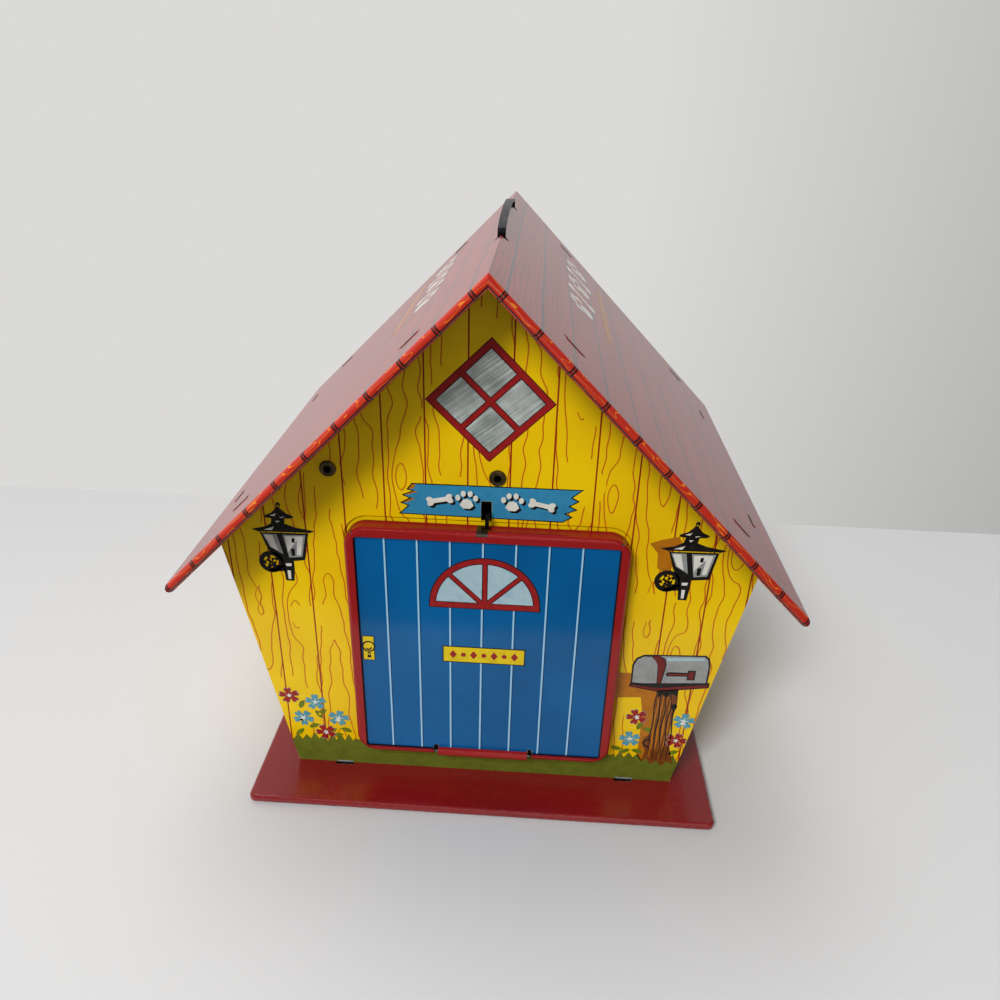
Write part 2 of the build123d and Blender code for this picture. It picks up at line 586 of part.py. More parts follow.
def make_puppy_figure():
    """Small moulded puppy standing on all fours and looking out."""
    puppy = egg((0, -42, 48), 11.0, 18.0, 90) + egg(NECK, NECK_R, 15.0, NECK_TILT)
    puppy += Pos(0, -56, 70) * Sphere(10.8)
    puppy += egg((0, -64.6, 66.5), 5.2, 5.6, 90)
    puppy += egg((0, -27.0, 57), 2.3, 9.5, -30)
    for side in (-1, 1):
        puppy += puppy_ear(side)
        puppy += Pos(side * 6.4, -53.5, 36) * Cylinder(3.7, 22)
        puppy += egg((side * 6.4, -56, 27.6), 4.0, 6.4, 90)
        puppy += egg((side * 7, -34, 41), 5.6, 9.5)
        puppy += Pos(side * 7, -32.5, 32) * Cylinder(3.7, 14)
        puppy += egg((side * 7, -35.0, 27.6), 4.0, 6.4, 90)
    puppy -= span_box((-40, 40), (-90, 0), (0, TRAY_TOP))
    for x, y in puppy_rivet_places():
        puppy -= Pos(x, y, TRAY_TOP) * Cylinder(1.0, 8)
    return puppy


def make_puppy_collar(puppy):
    """Enamelled collar round the puppy's neck."""
    ring = Pos(*NECK) * Rot(NECK_TILT, 0, 0) * Cylinder(NECK_R + 2.2, 3.4)
    ring = fillet(ring.edges(), 0.9)
    return ring - puppy


def make_puppy_rivets():
    """Four pins that hold the paws to the tray."""
    pins = []
    for x, y in puppy_rivet_places():
        pins.append(Pos(x, y, TRAY_LOW + 2.2) * Cylinder(1.0, 4.4))
    return Compound(children=pins)


# ---- coin chute ---------------------------------------------------------------------------
def make_coin_chute():
    """Sloping trough from the coin slot to the paddle, flanged to the rear wall."""
    wall = REAR_Y - SHEET
    start_z = COIN_SLOT_Z - COIN_SLOT[1] / 2 - 0.6
    floor = outline((wall, start_z), (CHUTE_END_Y, CHUTE_END_Z), (CHUTE_END_Y, CHUTE_END_Z - SHEET),
                    (wall, start_z - SHEET))
    cheek = outline((wall, start_z + 7), (CHUTE_END_Y, CHUTE_END_Z + 5), (CHUTE_END_Y, CHUTE_END_Z - SHEET),
                    (wall, start_z - SHEET))
    chute = lever_plate(floor, 2 * CHUTE_HALF, -CHUTE_HALF)
    chute += lever_plate(cheek, SHEET, -CHUTE_HALF)
    chute += lever_plate(cheek, SHEET, CHUTE_HALF - SHEET)
    flange = span_box((-CHUTE_HALF - 5, CHUTE_HALF + 5), (wall - SHEET, wall), (start_z - 6, start_z + 11))
    window = span_box((-CHUTE_HALF + SHEET, CHUTE_HALF - SHEET), (wall - 2, wall + 1), (start_z, start_z + 6))
    return chute + (flange - window)


# ---- strap ---------------------------------------------------------------------------------
def make_carry_strap():
    """Flat spring-steel strap over the ridge; its turned-out ends keep it in the roof."""
    low, high = STRAP_LEG_Y
    middle = (low + high) / 2
    top = RIDGE_Z + STRAP_RISE
    shoulder = RIDGE_Z + 1.6
    bend = 1.4
    arch = ThreePointArc((low + bend, shoulder), (middle, top), (high - bend, shoulder))
    left_leg = Line((low, STRAP_LEG_LOW_Z), (low, shoulder - bend))
    right_leg = Line((high, STRAP_LEG_LOW_Z), (high, shoulder - bend))
    left_bend = ThreePointArc((low, shoulder - bend), (low + bend * 0.29, shoulder - bend * 0.29),
                              (low + bend, shoulder))
    right_bend = ThreePointArc((high, shoulder - bend), (high - bend * 0.29, shoulder - bend * 0.29),
                               (high - bend, shoulder))
    left_foot = Line((low - 4.0, STRAP_LEG_LOW_Z), (low, STRAP_LEG_LOW_Z))
    right_foot = Line((high, STRAP_LEG_LOW_Z), (high + 4.0, STRAP_LEG_LOW_Z))
    runs = [left_foot, left_leg, left_bend, arch, right_bend, right_leg, right_foot]
    return extrude(Plane.YZ * trace(runs, line_width=STRAP_T), amount=STRAP_HALF, both=True)


def main():
    """Build every piece and write one STEP file for each."""
    right_wall = make_right_wall()
    puppy = make_puppy_figure()
    pieces = {
        "base_pan": make_base_pan(),
        "trap_rails": make_trap_rails(),
        "coin_trap": make_coin_trap(),
        "front_wall": make_front_wall(),
        "rear_wall": make_rear_wall(),
        "right_wall": right_wall,
        "left_wall": mirror(right_wall, Plane.YZ),
        "vault_wall": make_vault_wall(),
        "roof": make_roof(),
        "door_panel": make_door_panel(),
        "hinge_wire": make_hinge_wire(),
        "latch_lever": make_latch_lever(),
        "coin_paddle": make_coin_paddle(),
        "paddle_rivets": make_paddle_rivets(),
        "latch_bracket": make_latch_bracket(),
        "latch_pin": make_latch_pin(),
        "latch_spring": make_latch_spring(),
        "wall_eyelets": make_wall_eyelets(),
        "slide_deck": make_slide_deck(),
        "spring_rod": make_spring_rod(),
        "puppy_spring": make_puppy_spring(),
        "puppy_tray": make_puppy_tray(),
        "puppy_figure": puppy,
        "puppy_collar": make_puppy_collar(puppy),
        "puppy_rivets": make_puppy_rivets(),
        "coin_chute": make_coin_chute(),
        "carry_strap": make_carry_strap(),
    }
    for name, piece in pieces.items():
        export_step(piece, f"parts/{name}.step")


main()
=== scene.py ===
"""Tinplate kennel money box: finishes, lithographed artwork, studio and camera.

The CAD frame carries every sheet, rivet and spring. This script gives each of them the
finish of the real material and adds what was printed on the tinplate: the gable window, the
name sign, the carriage lamps, the mailbox, the flower beds and the door's fan light.
Lengths are in millimetres in the frame's own axes unless a name says otherwise.
"""

import json
import logging
import math
import random
from dataclasses import dataclass, field
from enum import Enum
from typing import Any, Iterable, Sequence

import bpy
from mathutils import Matrix, Vector

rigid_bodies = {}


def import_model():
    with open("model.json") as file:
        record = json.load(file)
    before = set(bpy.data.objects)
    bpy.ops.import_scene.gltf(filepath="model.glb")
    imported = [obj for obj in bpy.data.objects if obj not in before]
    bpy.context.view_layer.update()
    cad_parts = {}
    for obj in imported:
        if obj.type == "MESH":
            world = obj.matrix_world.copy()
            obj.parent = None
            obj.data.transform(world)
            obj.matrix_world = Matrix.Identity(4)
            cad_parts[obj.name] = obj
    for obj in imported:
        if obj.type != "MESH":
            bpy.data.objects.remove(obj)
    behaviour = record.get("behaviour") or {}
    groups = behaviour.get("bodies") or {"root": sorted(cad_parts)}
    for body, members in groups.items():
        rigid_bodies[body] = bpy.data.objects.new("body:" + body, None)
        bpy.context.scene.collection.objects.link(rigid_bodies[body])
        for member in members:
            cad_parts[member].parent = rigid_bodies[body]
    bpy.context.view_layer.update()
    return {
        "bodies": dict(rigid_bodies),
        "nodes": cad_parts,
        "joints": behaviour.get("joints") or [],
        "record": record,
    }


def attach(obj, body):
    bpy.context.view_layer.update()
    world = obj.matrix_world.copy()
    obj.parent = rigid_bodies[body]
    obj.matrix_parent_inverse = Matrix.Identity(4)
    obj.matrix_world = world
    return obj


LOG = logging.getLogger("kennel")
MM = 0.001

# The Mix node's sockets for its factor and its two colours or numbers.
MIX_FACTOR, MIX_A, MIX_B = 0, 6, 7
MIX_LEVEL_A, MIX_LEVEL_B = 2, 3

# Printing stands this far off the sheet for each colour laid over another.
INK_STEP = 0.035

# Litho varnish bends light less than glass does; the roof has a thicker, glossier coat.
VARNISH_IOR = 1.38
ROOF_VARNISH_IOR = 1.6

Point = tuple[float, float]
Place = tuple[float, float, float]
Limits = tuple[float, float, float, float]
Socket = Any


# ---- the sheet metal's driving sizes ----------------------------------------------------
FRONT_Y = -73.0
REAR_Y = 75.0
PANEL_Y = -77.9
BASE_TOP = 3.0
FOOT_HALF = 69.5
WALL_LEAN = 18.5 / 98.47
RIDGE_Z = 190.2
ROOF_FRONT_Y = -94.0
PLANK_PITCH = 13.1
FIRST_PLANK = 6.6
WALL_PLANK = 13.0
# Left, right, low and high edge of the slot that the latch's hook comes through.
LATCH_SLOT = (-2.3, 1.1, 109.5, 116.7)


class Wall(Enum):
    """Which printed wall a finish is made for, and the way that its printed face looks."""

    FRONT = (0.0, -1.0, 0.0)
    REAR = (0.0, 1.0, 0.0)
    RIGHT = (1.0, 0.0, 0.0)
    LEFT = (-1.0, 0.0, 0.0)


def linear(code: str) -> tuple[float, float, float, float]:
    """Turn an sRGB hex colour into linear values.

    Args:
        code: six hex digits with a leading hash.

    Returns:
        Red, green, blue and full alpha, linear.
    """
    values = []
    for start in (1, 3, 5):
        value = int(code[start:start + 2], 16) / 255
        values.append(value / 12.92 if value <= 0.04045 else ((value + 0.055) / 1.055) ** 2.4)
    return (*values, 1.0)


def add(tree: bpy.types.NodeTree, kind: str, links: dict[Any, Any] | None = None, **settings: Any) -> Socket:
    """Add a node with its settings and what feeds its inputs.

    Args:
        tree: the material's node tree.
        kind: the node's type without the ShaderNode prefix.
        links: input name or number to a socket or a plain value.
        settings: attributes of the node, such as its operation.

    Returns:
        The node's first output that is in use.
    """
    node = tree.nodes.new("ShaderNode" + kind)
    for key, value in settings.items():
        setattr(node, key, value)
    for key, value in (links or {}).items():
        if isinstance(value, bpy.types.NodeSocket):
            tree.links.new(value, node.inputs[key])
        else:
            node.inputs[key].default_value = value
    return next((output for output in node.outputs if output.enabled), None)


def ink_over(tree: bpy.types.NodeTree, under: Socket, code: str, mask: Socket) -> Socket:
    """Print one ink over the colours below it.

    Args:
        tree: the material's node tree.
        under: the colour below, a socket or a linear colour.
        code: the ink's hex colour.
        mask: where the ink lies, from 0 to 1.

    Returns:
        The colour after this ink.
    """
    return add(tree, "Mix", {MIX_FACTOR: mask, MIX_A: under, MIX_B: linear(code)}, data_type="RGBA")


def within(tree: bpy.types.NodeTree, value: Socket, low: float, high: float) -> Socket:
    """Tell where a value lies between two limits.

    Args:
        tree: the material's node tree.
        value: the socket to test.
        low: the lower limit.
        high: the upper limit.

    Returns:
        1 between the limits and 0 elsewhere.
    """
    above = add(tree, "Math", {0: value, 1: low}, operation="GREATER_THAN")
    below = add(tree, "Math", {0: value, 1: high}, operation="LESS_THAN")
    return add(tree, "Math", {0: above, 1: below}, operation="MULTIPLY")


def stripe(tree: bpy.types.NodeTree, value: Socket, start: float, pitch: float, width: float) -> Socket:
    """Draw evenly spaced lines across a value.

    Args:
        tree: the material's node tree.
        value: the distance the lines are counted along.
        start: where one of the lines lies.
        pitch: the distance between lines.
        width: the width of a line.

    Returns:
        1 on a line and 0 beside it.
    """
    shifted = add(tree, "Math", {0: value, 1: pitch / 2 - start}, operation="ADD")
    turn = add(tree, "Math", {0: shifted, 1: pitch}, operation="FLOORED_MODULO")
    off = add(tree, "Math", {0: turn, 1: pitch / 2}, operation="SUBTRACT")
    size = add(tree, "Math", {0: off}, operation="ABSOLUTE")
    return add(tree, "Math", {0: size, 1: width / 2}, operation="LESS_THAN")


@dataclass(frozen=True)
class Sheen:
    """How a surface shines: the values that stand on the shader's own sockets."""

    roughness: float = 0.3
    metallic: float = 0.0
    ior: float = 1.5
    coat: float = 0.0
    coat_roughness: float = 0.05

    def shader(self, tree: bpy.types.NodeTree, colour: Socket, bump: Socket | None = None,
               roughness: Socket | None = None, metallic: Socket | None = None) -> None:
        """Finish a material with the main shader.

        Args:
            tree: the material's node tree.
            colour: a socket or a linear colour.
            bump: the normal, if the surface has relief.
            roughness: a pattern of roughness, if it varies.
            metallic: a mask of bare metal, if some shows.
        """
        links: dict[Any, Any] = {"Base Color": colour, "Roughness": self.roughness,
                                 "Metallic": self.metallic, "IOR": self.ior,
                                 "Coat Weight": self.coat, "Coat Roughness": self.coat_roughness}
        for name, source in (("Normal", bump), ("Roughness", roughness), ("Metallic", metallic)):
            if source is not None:
                links[name] = source
        surface = add(tree, "BsdfPrincipled", links)
        add(tree, "OutputMaterial", {"Surface": surface})


def blank(name: str) -> tuple[bpy.types.Material, bpy.types.NodeTree]:
    """Make an empty node material.

    Args:
        name: the finish's common name.

    Returns:
        The material and its node tree.
    """
    material = bpy.data.materials.new(name)
    material.use_nodes = True
    material.node_tree.nodes.clear()
    return material, material.node_tree


@dataclass(frozen=True)
class Metal:
    """Bare or plated metal: tinplate, steel wire, plated rivets.

    The rolling lines run one way and are far finer than they are drawn here, so that they
    still show as the soft streaks that bare tinplate has. Handling leaves cloudy dull spots.
    """

    name: str
    colour: str
    worn: str
    roughness: float = 0.32
    streak: Point = (0.06, 2.2)
    turn: float = 0.0
    metallic: float = 1.0

    def build(self) -> bpy.types.Material:
        """Make the material."""
        material, tree = blank(self.name)
        place = add(tree, "TexCoord").node.outputs["Object"]
        along, across = self.streak
        turned = add(tree, "Mapping", {"Vector": place, "Rotation": (0, self.turn, 0)})
        grain = add(tree, "Mapping", {"Vector": turned,
                                      "Scale": (across / MM, across / MM, along / MM)})
        lines = add(tree, "TexNoise", {"Vector": grain, "Scale": 1.0, "Detail": 3.0})
        clouds = add(tree, "TexNoise", {"Vector": place, "Scale": 0.12 / MM, "Detail": 4.0})
        both = add(tree, "Math", {0: lines, 1: clouds}, operation="MULTIPLY")
        tone = add(tree, "MapRange", {"Value": both, "From Min": 0.12, "From Max": 0.42})
        colour = add(tree, "Mix", {MIX_FACTOR: tone, MIX_A: linear(self.worn), MIX_B: linear(self.colour)},
                     data_type="RGBA")
        rough = add(tree, "MapRange", {"Value": both, "From Min": 0.1, "From Max": 0.45,
                                       "To Min": self.roughness + 0.14, "To Max": self.roughness - 0.06})
        relief = add(tree, "Bump", {"Height": lines, "Strength": 0.12, "Distance": 0.02 * MM})
        Sheen(metallic=self.metallic).shader(tree, colour, bump=relief, roughness=rough)
        return material


@dataclass(frozen=True)
class Ink:
    """A flat colour lithographed on tinplate under a clear varnish.

    Litho ink is opaque and even, with a slight cloud where the roller laid it thinner. The
    varnish over it gives the wet shine.
    """

    name: str
    colour: str
    thin: str
    roughness: float = 0.24

    def build(self) -> bpy.types.Material:
        """Make the material."""
        material, tree = blank(self.name)
        place = add(tree, "TexCoord").node.outputs["Object"]
        cloud = add(tree, "TexNoise", {"Vector": place, "Scale": 0.35 / MM, "Detail": 4.0})
        mask = add(tree, "MapRange", {"Value": cloud, "From Min": 0.42, "From Max": 0.72})
        colour = ink_over(tree, linear(self.colour), self.thin, mask)
        Sheen(roughness=self.roughness, ior=VARNISH_IOR).shader(tree, colour)
        return material


@dataclass(frozen=True)
class PlankPrint:
    """Yellow boards lithographed on the tinplate walls.

    The boards have dark red joints and hand-drawn orange grain: long wavering lines that
    close round a knot here and there. Inside, the sheet is bare tin.
    """

    wall: Wall
    ground: str = "#F4CC02"
    shade: str = "#E8BA02"
    joint: str = "#96200C"
    grain: str = "#C8680E"
    tab_ink: str = "#6E1A18"
    bare: str = "#9A958A"
    joint_width: float = 0.5
    grain_gap: float = 4.5
    grain_width: float = 0.42
    waver: float = 1.5
    arched: float = 0.25
    arch_gap: float = 2.9
    arch_rise: float = 34.0
    board_seed: float = 3.7
    knot_pitch: float = 71.0
    knot_shift: float = 29.3
    knot_half: Point = (2.7, 9.0)
    knot_lines: float = 2.1

    @property
    def name(self) -> str:
        """Name the finish by the wall that it is printed on."""
        return "lithographed wall tinplate " + self.wall.name.lower()

    def build(self) -> bpy.types.Material:
        """Make the material."""
        material, tree = blank(self.name)
        coord = add(tree, "TexCoord").node
        axes = add(tree, "SeparateXYZ", {0: coord.outputs["Object"]}).node
        flat = axes.outputs[0] if self.wall in (Wall.FRONT, Wall.REAR) else axes.outputs[1]
        across = add(tree, "Math", {0: flat, 1: 1 / MM}, operation="MULTIPLY")
        along = add(tree, "Math", {0: axes.outputs[2], 1: 1 / MM}, operation="MULTIPLY")
        board = add(tree, "Math", {0: across, 1: WALL_PLANK / 2}, operation="SUBTRACT")
        board = add(tree, "Math", {0: board, 1: WALL_PLANK}, operation="DIVIDE")
        board = add(tree, "Math", {0: board}, operation="FLOOR")
        grain = self.grain_mask(tree, across, along, board)
        joint = stripe(tree, across, WALL_PLANK / 2, WALL_PLANK, self.joint_width)
        seed = add(tree, "CombineXYZ", {0: across, 1: along, 2: board})
        cloud = add(tree, "TexNoise", {"Vector": seed, "Scale": 0.03, "Detail": 2.0})
        mask = add(tree, "MapRange", {"Value": cloud, "From Min": 0.35, "From Max": 0.75})
        colour = ink_over(tree, linear(self.ground), self.shade, mask)
        colour = ink_over(tree, colour, self.grain, grain)
        colour = ink_over(tree, colour, self.joint, joint)
        inside = self.inside_mask(tree, coord.outputs["Normal"])
        feet = add(tree, "Math", {0: along, 1: BASE_TOP}, operation="LESS_THAN")
        inside = add(tree, "Math", {0: inside, 1: feet}, operation="MAXIMUM")
        side = add(tree, "Math", {0: axes.outputs[0]}, operation="ABSOLUTE")
        rise = add(tree, "Math", {0: side, 1: axes.outputs[2]}, operation="ADD")
        heads = add(tree, "Math", {0: rise, 1: (RIDGE_Z - 0.6) * MM}, operation="GREATER_THAN")
        colour = ink_over(tree, colour, self.tab_ink, heads)
        colour = ink_over(tree, colour, self.bare, inside)
        rough = add(tree, "MapRange", {"Value": inside, "To Min": 0.2, "To Max": 0.38})
        Sheen(ior=VARNISH_IOR).shader(tree, colour, roughness=rough, metallic=inside)
        return material

    def grain_level(self, tree: bpy.types.NodeTree, across: Socket, along: Socket, board: Socket) -> Socket:
        """Work out how far across the grain a point lies, in grain lines.

        Some boards have upright lines that close round a knot; the others have lines that
        meet in tall narrow arches.

        Args:
            tree: the material's node tree.
            across: millimetres across the boards.
            along: millimetres along the boards.
            board: the board's number.

        Returns:
            A level that passes a half number at each grain line.
        """
        offset = add(tree, "Math", {0: board, 1: self.board_seed}, operation="MULTIPLY")
        swing = add(tree, "Math", {0: offset}, operation="SINE")
        middle = add(tree, "Math", {0: board, 1: WALL_PLANK, 2: WALL_PLANK}, operation="MULTIPLY_ADD")
        aside = add(tree, "Math", {0: across, 1: middle}, operation="SUBTRACT")
        aside = add(tree, "Math", {0: swing, 1: 1.6, 2: aside}, operation="MULTIPLY_ADD")
        upright = add(tree, "Math", {0: aside, 1: 1 / self.grain_gap}, operation="MULTIPLY")
        level = add(tree, "Math", {0: upright, 1: self.knots(tree, aside, along, board)}, operation="ADD")
        curve = add(tree, "Math", {0: aside, 1: aside, 2: 5.0}, operation="MULTIPLY_ADD")
        curve = add(tree, "Math", {0: curve}, operation="SQRT")
        arch = add(tree, "Math", {0: curve, 1: 1 / self.arch_gap}, operation="MULTIPLY")
        tilt = add(tree, "Math", {0: swing}, operation="SIGN")
        rise = add(tree, "Math", {0: along, 1: tilt}, operation="MULTIPLY")
        arch = add(tree, "Math", {0: rise, 1: 1 / self.arch_rise, 2: arch}, operation="MULTIPLY_ADD")
        cycle = add(tree, "Math", {0: board, 1: 2.4}, operation="MULTIPLY")
        cycle = add(tree, "Math", {0: cycle}, operation="SINE")
        arched = add(tree, "Math", {0: cycle, 1: self.arched}, operation="GREATER_THAN")
        level = add(tree, "Mix", {MIX_FACTOR: arched, MIX_LEVEL_A: level, MIX_LEVEL_B: arch},
                    data_type="FLOAT")
        wide = add(tree, "Math", {0: across, 1: 0.35}, operation="MULTIPLY")
        wobble_at = add(tree, "CombineXYZ", {0: wide, 1: along, 2: offset})
        wobble = add(tree, "TexNoise", {"Vector": wobble_at, "Scale": 0.08, "Detail": 1.0})
        wobble = add(tree, "Math", {0: wobble, 1: 0.5}, operation="SUBTRACT")
        return add(tree, "Math", {0: wobble, 1: self.waver, 2: level}, operation="MULTIPLY_ADD")

    def knots(self, tree: bpy.types.NodeTree, aside: Socket, along: Socket, board: Socket) -> Socket:
        """Raise the level round knots, one on each stretch of each board.

        Args:
            tree: the material's node tree.
            aside: millimetres from the board's middle.
            along: millimetres along the boards.
            board: the board's number.

        Returns:
            How much the level rises.
        """
        place = add(tree, "Math", {0: board, 1: self.knot_shift, 2: along}, operation="MULTIPLY_ADD")
        place = add(tree, "Math", {0: place, 1: self.knot_pitch}, operation="FLOORED_MODULO")
        place = add(tree, "Math", {0: place, 1: self.knot_pitch / 2}, operation="SUBTRACT")
        wide = add(tree, "Math", {0: aside, 1: 1 / self.knot_half[0]}, operation="MULTIPLY")
        long = add(tree, "Math", {0: place, 1: 1 / self.knot_half[1]}, operation="MULTIPLY")
        reach = add(tree, "CombineXYZ", {0: wide, 1: long, 2: 0.0})
        square = add(tree, "VectorMath", {0: reach, 1: reach}, operation="DOT_PRODUCT").node.outputs["Value"]
        square = add(tree, "Math", {0: square, 1: -1.0}, operation="MULTIPLY")
        hill = add(tree, "Math", {0: square}, operation="EXPONENT")
        return add(tree, "Math", {0: hill, 1: self.knot_lines}, operation="MULTIPLY")

    def grain_mask(self, tree: bpy.types.NodeTree, across: Socket, along: Socket, board: Socket) -> Socket:
        """Draw the grain as level lines of a stretched hill field, with a pen of even width.

        Args:
            tree: the material's node tree.
            across: millimetres across the boards.
            along: millimetres along the boards.
            board: the board's number.

        Returns:
            1 on a grain line.
        """
        step = 0.3
        here = self.grain_level(tree, across, along, board)
        slopes = []
        for dx, dz in ((step, 0.0), (0.0, step)):
            x = add(tree, "Math", {0: across, 1: dx}, operation="ADD")
            z = add(tree, "Math", {0: along, 1: dz}, operation="ADD")
            there = self.grain_level(tree, x, z, board)
            slopes.append(add(tree, "Math", {0: there, 1: here}, operation="SUBTRACT"))
        steep = add(tree, "CombineXYZ", {0: slopes[0], 1: slopes[1], 2: 0.0})
        steep = add(tree, "VectorMath", {0: steep}, operation="LENGTH").node.outputs["Value"]
        turn = add(tree, "Math", {0: here}, operation="FRACT")
        off = add(tree, "Math", {0: turn, 1: 0.5}, operation="SUBTRACT")
        off = add(tree, "Math", {0: off}, operation="ABSOLUTE")
        pen = add(tree, "Math", {0: steep, 1: self.grain_width / 2 / step}, operation="MULTIPLY")
        line = add(tree, "Math", {0: off, 1: pen}, operation="LESS_THAN")
        offset = add(tree, "Math", {0: board, 1: self.board_seed}, operation="MULTIPLY")
        gap_at = add(tree, "CombineXYZ", {0: across, 1: along, 2: offset})
        gaps = add(tree, "TexNoise", {"Vector": gap_at, "Scale": 0.05, "Detail": 0.0})
        shown = add(tree, "Math", {0: gaps, 1: 0.35}, operation="GREATER_THAN")
        return add(tree, "Math", {0: line, 1: shown}, operation="MULTIPLY")

    def inside_mask(self, tree: bpy.types.NodeTree, normal: Socket) -> Socket:
        """Find the unprinted inner face of the sheet.

        Args:
            tree: the material's node tree.
            normal: the surface's normal.

        Returns:
            1 where the sheet faces into the house.
        """
        lean = add(tree, "VectorMath", {0: normal, 1: self.wall.value}, operation="DOT_PRODUCT").node
        return add(tree, "Math", {0: lean.outputs["Value"], 1: -0.4}, operation="LESS_THAN")


@dataclass(frozen=True)
class RoofPrint:
    """Red boards lithographed on the roof sheet, running from front to back.

    The varnish over the red reflects the pale room at a low angle. Joints are thin dark
    blue-grey lines; over the rolled front edge they turn into double black rings with
    orange grain strokes between them.
    """

    name: str = "lithographed roof tinplate"
    ground: str = "#A4241C"
    shade: str = "#8C1E1A"
    joint: str = "#262436"
    grain: str = "#6C1216"
    rolled: str = "#C02A18"
    stroke: str = "#E8821C"
    lip: str = "#4A0E0C"
    ring: str = "#1C0C0C"
    ring_gap: str = "#8A2014"
    bare: str = "#8E897E"
    joint_width: float = 0.85
    grain_gap: float = 2.1
    ring_width: float = 1.5
    ring_gap_width: float = 0.6

    def build(self) -> bpy.types.Material:
        """Make the material."""
        material, tree = blank(self.name)
        coord = add(tree, "TexCoord").node
        axes = add(tree, "SeparateXYZ", {0: coord.outputs["Object"]}).node
        side = add(tree, "Math", {0: axes.outputs[0]}, operation="ABSOLUTE")
        drop = add(tree, "Math", {0: side, 1: axes.outputs[2]}, operation="SUBTRACT")
        slant = add(tree, "Math", {0: drop, 1: RIDGE_Z * MM}, operation="ADD")
        slant = add(tree, "Math", {0: slant, 1: 1 / (math.sqrt(2) * MM)}, operation="MULTIPLY")
        rise = add(tree, "Math", {0: side, 1: axes.outputs[2]}, operation="ADD")
        rise = add(tree, "Math", {0: rise, 1: -RIDGE_Z * MM}, operation="ADD")
        rise = add(tree, "Math", {0: rise, 1: 1 / (math.sqrt(2) * MM)}, operation="MULTIPLY")
        depth = add(tree, "Math", {0: axes.outputs[1], 1: 1 / MM}, operation="MULTIPLY")
        edge = add(tree, "Math", {0: depth, 1: ROOF_FRONT_Y + 1.6}, operation="LESS_THAN")
        low = add(tree, "Math", {0: rise, 1: -0.45}, operation="LESS_THAN")
        edge = add(tree, "Math", {0: edge, 1: low}, operation="MAXIMUM")
        right = add(tree, "Math", {0: axes.outputs[0], 1: 0.0}, operation="GREATER_THAN")
        top = self.boards(tree, slant, depth, right)
        rolled = self.rolled_edge(tree, slant, rise)
        colour = add(tree, "Mix", {MIX_FACTOR: edge, MIX_A: top, MIX_B: rolled}, data_type="RGBA")
        lean = add(tree, "SeparateXYZ", {0: coord.outputs["Normal"]}).node.outputs[2]
        under = add(tree, "Math", {0: lean, 1: -0.3}, operation="LESS_THAN")
        back = add(tree, "Math", {0: depth, 1: ROOF_FRONT_Y + 4.4}, operation="GREATER_THAN")
        inside = add(tree, "Math", {0: under, 1: back}, operation="MULTIPLY")
        colour = ink_over(tree, colour, self.bare, inside)
        rough = add(tree, "MapRange", {"Value": inside, "To Min": 0.22, "To Max": 0.4})
        Sheen(ior=ROOF_VARNISH_IOR).shader(tree, colour, roughness=rough, metallic=inside)
        return material

    def boards(self, tree: bpy.types.NodeTree, slant: Socket, depth: Socket, right: Socket) -> Socket:
        """Colour the boards on the two slopes.

        Args:
            tree: the material's node tree.
            slant: millimetres down the slope from the ridge.
            depth: millimetres from front to back.
            right: 1 on the right-hand slope.

        Returns:
            The colour of the slopes.
        """
        board = add(tree, "Math", {0: slant, 1: -FIRST_PLANK}, operation="ADD")
        board = add(tree, "Math", {0: board, 1: PLANK_PITCH}, operation="DIVIDE")
        board = add(tree, "Math", {0: board}, operation="FLOOR")
        seed = add(tree, "Math", {0: board, 1: 4.3}, operation="MULTIPLY")
        seed = add(tree, "Math", {0: seed, 1: right}, operation="ADD")
        wide = add(tree, "Math", {0: slant, 1: 0.075}, operation="MULTIPLY")
        long = add(tree, "Math", {0: depth, 1: 0.02}, operation="MULTIPLY")
        spot = add(tree, "CombineXYZ", {0: wide, 1: long, 2: seed})
        hills = add(tree, "TexNoise", {"Vector": spot, "Scale": 1.0, "Detail": 1.0})
        hills = add(tree, "Math", {0: hills, 1: 2.6}, operation="MULTIPLY")
        level = add(tree, "Math", {0: slant, 1: 1 / self.grain_gap}, operation="MULTIPLY")
        level = add(tree, "Math", {0: level, 1: hills}, operation="ADD")
        lines = stripe(tree, level, 0.5, 1.0, 0.2)
        cloud = add(tree, "TexNoise", {"Vector": spot, "Scale": 2.0, "Detail": 3.0})
        mask = add(tree, "MapRange", {"Value": cloud, "From Min": 0.35, "From Max": 0.7})
        colour = ink_over(tree, linear(self.ground), self.shade, mask)
        colour = ink_over(tree, colour, self.grain, lines)
        joint = stripe(tree, slant, FIRST_PLANK, PLANK_PITCH, self.joint_width)
        return ink_over(tree, colour, self.joint, joint)

